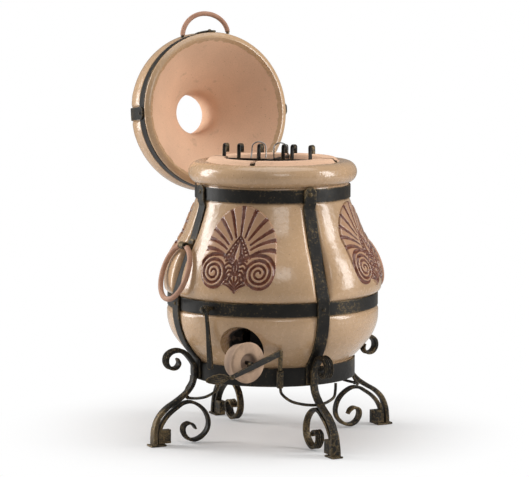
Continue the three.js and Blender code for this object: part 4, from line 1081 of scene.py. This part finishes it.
shift = add(tree, "GeometryNodeSetPosition",
            {"Geometry": keep.outputs["Geometry"],
             "Offset": scaled(keep.outputs["Outward"], given["Radius"])})
facing = add(tree, "GeometryNodeSetCurveNormal",
             {"Curve": shift.outputs["Geometry"], "Normal": keep.outputs["Outward"]},
             mode="FREE")
size = add(tree, "ShaderNodeCombineXYZ",
           {"X": given["Strip Thickness"], "Y": given["Strip Width"], "Z": 1})
outline = add(tree, "GeometryNodeCurvePrimitiveCircle", {"Resolution": 10, "Radius": 0.5})
flatten = add(tree, "GeometryNodeTransform",
              {"Geometry": outline.outputs["Curve"], "Scale": size.outputs[0]})
sweep = add(tree, "GeometryNodeCurveToMesh",
            {"Curve": facing.outputs["Curve"], "Profile Curve": flatten.outputs["Geometry"],
             "Fill Caps": True})
end_tree(tree, sweep.outputs["Mesh"], given, result)

leather, tree = shader("wound_tan_leather")
where = object_place(tree)
pores = cloud(tree, where, 700, 3, 0.7)
worn_in = graded(tree, cloud(tree, where, 26, 3), 0.35, 0.65)
dye = mixed(tree, "MIX", worn_in, (0.385, 0.19, 0.115, 1), (0.50, 0.275, 0.175, 1))
dye = mixed(tree, "MULTIPLY", 0.5, dye, graded(tree, pores, 0.3, 0.7, 0.6, 1.25))
finish_surface(tree, dye, graded(tree, pores, 0.3, 0.7, 0.55, 0.75), pores, 0.4, 0.0005,
               Sheen_Weight=0.15)


def wound_strip(route, turns, core):
    """The leather strip wound round a route of 3-D points in mm, core from its middle."""
    path = bpy.data.meshes.new("route")
    path.from_pydata([tuple(p) for p in route], [(i, i + 1) for i in range(len(route) - 1)], [])
    mesh = grown(path, wound, {"Turns": float(turns), "Radius": core, "Strip Width": wrap_strip,
                               "Strip Thickness": wrap_thick * 0.93, "Material": leather})
    mesh.shade_smooth()
    return mesh


for title, angle, body in (("left", -90, "left_ring"), ("right", 90, "right_ring")):
    plate_back = [(strap_face(eye_z + z) + 2 * gap, eye_z + z) for z in (-13, -6, 0, 6, 13)]
    plate = flat_bar(backed_line(plate_back, 3, 3), 3, eye_length, 0.7)
    neck_in, neck_out = plate_back[2][0] + 1, eye_u - eye_radius + 2
    neck_line = [((neck_in + neck_out) / 2, z) for z in np.linspace(eye_z - 5, eye_z + 4, 5)]
    neck = flat_bar(neck_line, neck_out - neck_in, eye_length - 1, 0.7)
    barrel = tube(eye_radius, eye_bore, eye_length, (0, -eye_u, eye_z))
    fitted("rolled_eye_" + title, hammered(joined(plate, neck, barrel), 0.2, 8, 50), eye_iron,
           "stove", "forged_iron", "ring_eye_" + title, at=turned_about(angle))

    hang = (turned_about(angle) @ Matrix.Translation((0, -eye_u, eye_z))
            @ Matrix.Rotation(math.radians(-ring_lean), 4, "X")
            @ Matrix.Translation((0, 0, ring_drop)))
    section = [(ring_radius + ring_rod * math.cos(b), ring_rod * math.sin(b))
               for b in np.linspace(0, 2 * math.pi, 17)[:-1]]
    rings = [[(r * math.sin(a), y, r * math.cos(a)) for r, y in section]
             for a in np.linspace(0, 2 * math.pi, 121)[:-1]]
    fitted("forged_ring_" + title, skinned(rings, loop=True), eye_iron, body, "forged_iron",
           "ring_" + title, at=hang)

    clear = math.asin((eye_length / 2 + 5.5) / ring_radius)
    route = [(ring_radius * math.sin(a), 0, ring_radius * math.cos(a))
             for a in np.linspace(clear, 2 * math.pi - clear, 90)]
    fitted("wound_ring_grip_" + title, wound_strip(route, wrap_turns, ring_rod + wrap_thick / 2),
           leather, body, "wound_leather", "ring_wrap_" + title, at=hang)

# ------------------------------------------------------------------ lid
# A deep clay dome with a chimney hole, open inside like a funnel. It leans back on its hinge
# and shows its bare inside; the outside and the rim are glazed as the pot is.
lid_hinge, lid_rim_drop, lid_lean = (184.5, 546.7), 85.72, 96.1
lid_place = (Matrix.Translation((0, lid_hinge[0], lid_hinge[1]))
             @ Matrix.Rotation(math.radians(-lid_lean), 4, "X")
             @ Matrix.Translation((0, -lid_hinge[0], lid_rim_drop)))
lid_rim = [
    (171, -8), (173.4, -7.7), (176, -6.6), (180.4, -4.2), (182.8, -2.4), (183.7, -0.8),
    (183.6, 1.4), (183.2, 2.4), (180.5, 2.65), (180.4, 28.4),
]
lid_skin = [
    (184.5, 31), (188, 52), (184, 76), (168, 101), (143, 123), (116, 137), (99, 147), (94.2, 153.2),
]
lid_crown = [
    (93.1, 154.5), (93.1, 167.5), (92.6, 170), (90.4, 172.6), (85, 176.4), (78.5, 179), (71.5, 180),
    (54, 180), (50.5, 179.4), (48, 177.6), (47.3, 174),
]
lid_inside = [
    (47.3, 174), (48, 150), (49, 120), (52, 109), (59, 100), (75, 84.9), (100, 61.3), (122.6, 40),
    (145, 18), (165, -2.2), (169, -6.2), (171, -8),
]
strap_sink = 3.5


def lid_bed(z):
    """Radius of the flat bed of the lid's straps at a height."""
    return np.interp(z, [p[1] for p in lid_skin], [p[0] for p in lid_skin]) - strap_sink - 0.75


rows = [(u, z, False) for u, z in lid_rim]
rows += [(read_line(lid_skin, z), z, True) for z in np.linspace(31, 153, 46)]
rows += [(u, z, False) for u, z in lid_crown[:-1]]
rows += [(u, z, False) for u, z in smooth_line(lid_inside, 8)]
lid = clay_body(rows, lid_bed)


def lid_bareness(x, y, z):
    wide = math.hypot(x, y)
    funnel = 171 - (z + 8) * 1.0083 + 2.5
    if z < 112 and wide < funnel + 2.5:
        return min(1.0, max(0.0, (167 - wide) / 7))
    return 1.0 if wide < 56 or (z < 30 and z > 2.5 and wide < 182) else 0.0


marked(lid, "bare", lid_bareness)
fitted("clay_lid", lid, fired, "lid", "fired_clay", "lid", at=lid_place)

# ------------------------------------------------------------------ lid iron
# A hoop round the lid's rim and a ring round its neck are tied by flat straps that run over
# the dome. Domed rivets hold the straps to the hoop, and the rear strap carries the hinge.
hoop_lap = 185.1
lid_strap_back = [(hoop_lap, 2), (hoop_lap, 15), (hoop_lap, 28.5), (184.5, 52), (180.5, 76),
                  (164.5, 101), (139.5, 123), (112.5, 137), (95.5, 147), (93.9, 153.2)]
lid_iron = iron_paint("hammered_lid_iron", 0.45)
# The lid's rivets get still more gold: partly rubbed wear, partly a painted glint on their domes.
lid_rivet_iron = iron_paint("lid_rivet_iron_rubbed_and_glinting", 0.85)
for title, radius, low, high, seed in (("lid_hoop", 180.8, 3, 28, 60),
                                       ("lid_crown_ring", 93.5, 155, 167, 61)):
    fitted("hammered_" + title, hoop(radius, low, high, seed), lid_iron, "lid", "forged_iron",
           title, at=lid_place)
for k, (title, angle) in enumerate((("front", 0), ("right", 90), ("left", -90))):
    line = backed_line(lid_strap_back, band_thick, 4)
    clip = np.clip(lid_strap_back[0][1] + strap_clip - line[:, 1], 0, strap_clip)
    strap = hammered(flat_bar(line, band_thick, strap_wide - 2 * clip), seed=62 + k)
    fitted("lid_strap_" + title + "_bar", strap, lid_iron, "lid", "forged_iron",
           "lid_strap_" + title, at=lid_place @ turned_about(angle))
lid_spots = [(hoop_lap + band_thick + gap, 14, angle) for angle in (0, 90, -90)]
fitted("lid_rivets", set_out_copies(rivet_head, lid_spots, lid_rivet_iron, 9, 0.5, 0.05),
       lid_rivet_iron, "lid", "forged_iron", "lid_rivet_front", "lid_rivet_right",
       "lid_rivet_left", at=lid_place)

# The hinge is at the back: the rear strap, the plate on the top band and the pin keep the shape
# they have in the frame and are blacked like the rest.
dress(lid_iron, "lid_hinge_strap", "hinge_plate", "hinge_pin")

# ------------------------------------------------------------------ lid handle
# A round iron bow stands out from the hoop, opposite the hinge. Its middle is wound with the
# same leather as the rings, and its bare ends are welded to the hoop.
handle_half, handle_shift, handle_rise, handle_z = 59, -11, 44, 15.5
handle_rod, wrap_span, handle_turns = 4, 83.5, 36


def handle_point(degrees_round):
    a = math.radians(degrees_round)
    x = handle_shift + handle_half * math.sin(a)
    side = handle_shift + handle_half * (1 if a > 0 else -1 if a < 0 else 0)
    foot = math.sqrt((hoop_lap + 2) ** 2 - side ** 2)
    return (x, -(foot + (hoop_lap + handle_rise - foot) * math.cos(a)), handle_z)


bow = round_rod([handle_point(a) for a in np.linspace(-90, 90, 61)], handle_rod, dome=False)
fitted("forged_lid_bow", hammered(bow, 0.15, 9, 66), eye_iron, "lid", "forged_iron",
       "lid_handle", at=lid_place)
handle_route = [handle_point(a) for a in np.linspace(-wrap_span, wrap_span, 60)]
fitted("wound_lid_grip",
       wound_strip(handle_route, handle_turns, handle_rod + wrap_thick / 2 - 0.15), leather,
       "lid", "wound_leather", "lid_handle_wrap", at=lid_place)

# ------------------------------------------------------------------ damper
# A clay plug for the fire hole hangs on a flat arm that swings on a leaning post in a socket
# on the lower band. The arm runs on through a ball to a leaf, which is the grip.
post_turn, post_radius, post_height, post_lean = -23, 217.5, 165, 12
swing_open = 56
arm_reach, post_rod, ball_radius = 146, 4, 6
lean = math.radians(post_lean)
post_axis = out(post_turn) * math.sin(lean) + Vector((0, 0, math.cos(lean)))
post_base = out(post_turn) * post_radius + Vector((0, 0, post_height))
damper_place = (Matrix.Translation(post_base)
                @ Matrix.Rotation(math.radians(swing_open), 4, post_axis)
                @ Matrix.Translation(-post_base))
elbow = post_base + post_axis * 61
towards = out(-59.8) * 236 + Vector((0, 0, elbow.z - 9)) - elbow
arm_ball = elbow + towards.normalized() * arm_reach
leaf_tip = out(-73.1) * 254 + Vector((0, 0, arm_ball.z + 10.5))


def blade(start, end, stations, edge=0.9, flutes=0, flute_depth=0):
    """A bar on edge between two points; stations are [share of the way, thick, tall]."""
    run = end - start
    side = Vector((0, 0, 1)).cross(run.normalized()).normalized()
    up = run.normalized().cross(side)
    shares, thicks, talls = zip(*stations)
    rings = []
    for share in np.linspace(shares[0], shares[-1], max(8, round(run.length / 2.5))):
        thick, tall = (float(np.interp(share, shares, sizes)) for sizes in (thicks, talls))
        section = rounded(thick / 2, tall / 2, edge, flutes, flute_depth * min(1, tall / 10))
        rings.append([tuple(start + run * float(share) + side * float(n) + up * float(t))
                      for n, t in section])
    return skinned(rings)


post = round_rod(smooth_line([post_base + post_axis * s for s in (-19, 10, 40, 59)], 4), post_rod)
collar = round_rod([post_base + post_axis * s for s in (20, 22, 24, 63, 66, 67.5)],
                   [4.2, 4.9, 5, 5, 4.8, 4])
arm_bar = blade(elbow, arm_ball, [(-0.03, 3.6, 12), (0, 4, 14), (0.5, 4, 13), (0.97, 4, 10)])
leaf = blade(arm_ball, leaf_tip,
             [(0, 4, 4), (0.16, 4, 5), (0.28, 4.6, 15), (0.5, 4.8, 22), (0.75, 4.4, 20),
              (0.95, 3.4, 13), (1.06, 2.6, 6)], 1.1, 5, 1.6)
arm = joined(post, collar, arm_bar, leaf, ball(arm_ball, ball_radius))
arm_iron = iron_paint("arm_iron_rubbed_and_sheened", 0.5)
fitted("forged_damper_arm", hammered(arm, 0.25, 8, 70), arm_iron, "damper", "forged_iron",
       "damper_arm", at=damper_place)

plug_profile = [
    (4.5, 171.6), (34.8, 171.6), (36, 171.9), (36.5, 172.8), (40.4, 190.5), (44.3, 208),
    (44.2, 209.3), (43.5, 210.5), (41.6, 212.8), (40.2, 213.5), (31, 213.5), (23.6, 213.4),
    (21.8, 212.7), (18.6, 208.2), (16.5, 205.4), (14.6, 204.6), (4.5, 204.6), (4.5, 171.6),
]
plug = turned_body(plug_profile, 96)
# The plug is darkened a little all over and more on its inner part; near its axis it is darkest,
# painted shade in the dish of its outer face.
marked(plug, "darkening", lambda x, y, z: 0.8 if math.hypot(x, z) < 20 else 0.6 if -y < 200 else 0.22)
darkened_plug_clay, tree = shader("darkened_bare_plug_clay")
where = object_place(tree)
plug_look = use_group(tree, clay_look, Vector=where, Clay=(0.5, 0.335, 0.225, 1), Mottle=0.6,
                      Specks=0.7)
darkening_share = graded(tree, frayed_mark(tree, "darkening", where, 38, 4, -0.35, 0.3), 0.1, 1.0)
darkened_clay = mixed(tree, "MIX", darkening_share, plug_look["Color"], (0.16, 0.105, 0.075, 1))
finish_surface(tree, darkened_clay, 0.86, plug_look["Grain"], 0.5, 0.0009)
fitted("clay_plug", plug, darkened_plug_clay, "damper", "fired_clay", "damper_plug",
       at=damper_place @ hole_place)
dress(arm_iron, "damper_socket", "damper_bolt")

# ------------------------------------------------------------------ latch
# A narrow bar hangs from a stud on the middle band, behind a rosette of whirled petals. Swung
# aside or down, it keeps the damper where it is wanted.
latch_turn, latch_u, latch_z = -61, 258.5, 318
latch_route = [(244, 184), (247.5, 223), (252.5, 268), (257.5, 304), (258.5, 318), (258.5, 326)]
latch_widths = [(0, 8), (0.02, 12), (0.06, 15), (0.3, 13), (0.6, 9.5), (0.83, 8), (0.93, 13.6),
                (0.98, 12.4), (1, 9)]
rosette_u, rosette_radius, rosette_depth, petals = 268.8, 10, 4.5, 9
line = smooth_line(latch_route, 2)
wide = np.interp(np.linspace(0, 1, len(line)), *zip(*latch_widths))
stud_hole = cone(latch_u - 12, latch_u + 12, 5, 0, 48)
stud_hole.transform(Matrix.Translation((0, 0, latch_z)))
fitted("forged_latch", cut_away(flat_bar(line, 4.8, wide, 1.1), stud_hole), arm_iron, "latch",
       "forged_iron", "latch_bar", at=turned_about(latch_turn))

rings = []
for a in np.linspace(0, 2 * math.pi, 109)[:-1]:
    ring = [(0, rosette_u - rosette_depth * 0.8)]
    ring += [(rosette_radius * s, rosette_u - rosette_depth * 0.8 * math.sqrt(1 - s * s))
             for s in (0.4, 0.75, 0.93)]
    for s in (0.995, 0.97, 0.92, 0.84, 0.72, 0.6, 0.48, 0.36, 0.3):
        whirl = 0.5 + 0.5 * math.cos(petals * (a + 0.9 * s))
        ring.append((rosette_radius * s * (0.93 + 0.07 * whirl),
                     rosette_u + rosette_depth * math.sqrt(1 - s * s) * (0.55 + 0.35 * whirl)))
    ring += [(rosette_radius * s, rosette_u + rosette_depth * rise)
             for s, rise in ((0.27, 0.7), (0.24, 0.9), (0.14, 0.98), (0, 1))]
    rings.append([(r * math.cos(a), -u, r * math.sin(a)) for r, u in ring])
fitted("whirled_rosette", ring_mesh(rings, 50), rivet_iron, "latch", "forged_iron",
       "latch_rosette", at=turned_about(latch_turn) @ Matrix.Translation((0, 0, latch_z)))
dress(arm_iron, "latch_stud")

# ------------------------------------------------------------------ skewer hanger
# Two flat bars cross over the fire in notches of the lip. Six bent strips on one of them are
# the skewers' hooks; one strip is made, and Geometry Nodes set it out along the bar.
hanger_low, hanger_thick, hanger_wide, hanger_half = 623, 5, 8, 149
hook_line, hook_spots, hook_twist = 45, (-115, -80, -33, 24, 45, 88), 30
hook_route = [(0, 0.5), (0, 12), (0, 24), (0, 31), (0.74, 33.75), (2.75, 35.76), (5.5, 36.5),
              (8.25, 35.76), (10.26, 33.75), (11, 31), (11, 24), (11, 18)]
hanger_iron = iron_paint("oiled_hanger_iron", 0.25)
middle = Vector((0, 0, hanger_low + hanger_thick / 2))
flats = [(0, hanger_wide, hanger_thick), (1, hanger_wide, hanger_thick)]
crossing = [blade(middle - out(angle) * hanger_half, middle + out(angle) * hanger_half, flats, 0.8)
            for angle in (hook_line, hook_line + 90)]
hook_places = [(spot, hanger_low + 1, hook_line) for spot in hook_spots]
hooks = set_out_copies(flat_bar(hook_route, 2.9, 9.8, 0.8), hook_places, hanger_iron, 3, 0.05,
                       0.02, twist=-hook_twist)
fitted("skewer_hanger", hammered(joined(hooks, *crossing), 0.12, 7, 80), hanger_iron,
       "hanger", "forged_iron", "hanger")

# Two loops of thin bright wire stand on the hook bar, to lift the hanger out of the heat.
wire_radius = 1.4
loop_low, loop_leg, loop_bow, loop_rise = 628.9, 16, 20, 16
loop_start, loop_slope, loop_lean = 2.4, 0.4, 4.8
wire, tree = shader("bright_drawn_wire")
drawn = cloud(tree, object_place(tree), 300, 3)
pale = mixed(tree, "MIX", graded(tree, drawn, 0.3, 0.7), (0.22, 0.22, 0.21, 1),
             (0.46, 0.46, 0.45, 1))
finish_surface(tree, pale, graded(tree, drawn, 0.3, 0.7, 0.25, 0.45), drawn, 0.15, 0.0003,
               Metallic=0.9)
for title, first, last, way in (("a", -52, -17, 1), ("b", 4, 38, -1)):
    half = (last - first) / 2
    route = [(first, 0), (first + 0.5, loop_leg / 2), (first + 1, loop_leg)]
    route += [((first + last) / 2 + half * math.cos(math.radians(t)),
               loop_bow + loop_rise * math.sin(math.radians(t))) for t in (150, 120, 90, 60, 30)]
    route += [(last - 1, loop_leg), (last - 0.5, loop_leg / 2), (last, 0)]
    points = [(way * (loop_start + min(loop_lean, loop_slope * z)), -u, loop_low + z)
              for u, z in route]
    fitted("wire_loop_" + title, round_rod(smooth_line(points, 1.5), wire_radius, 12, False),
           wire, "hanger", "bright_wire", "lifting_loop_" + title, at=turned_about(hook_line))
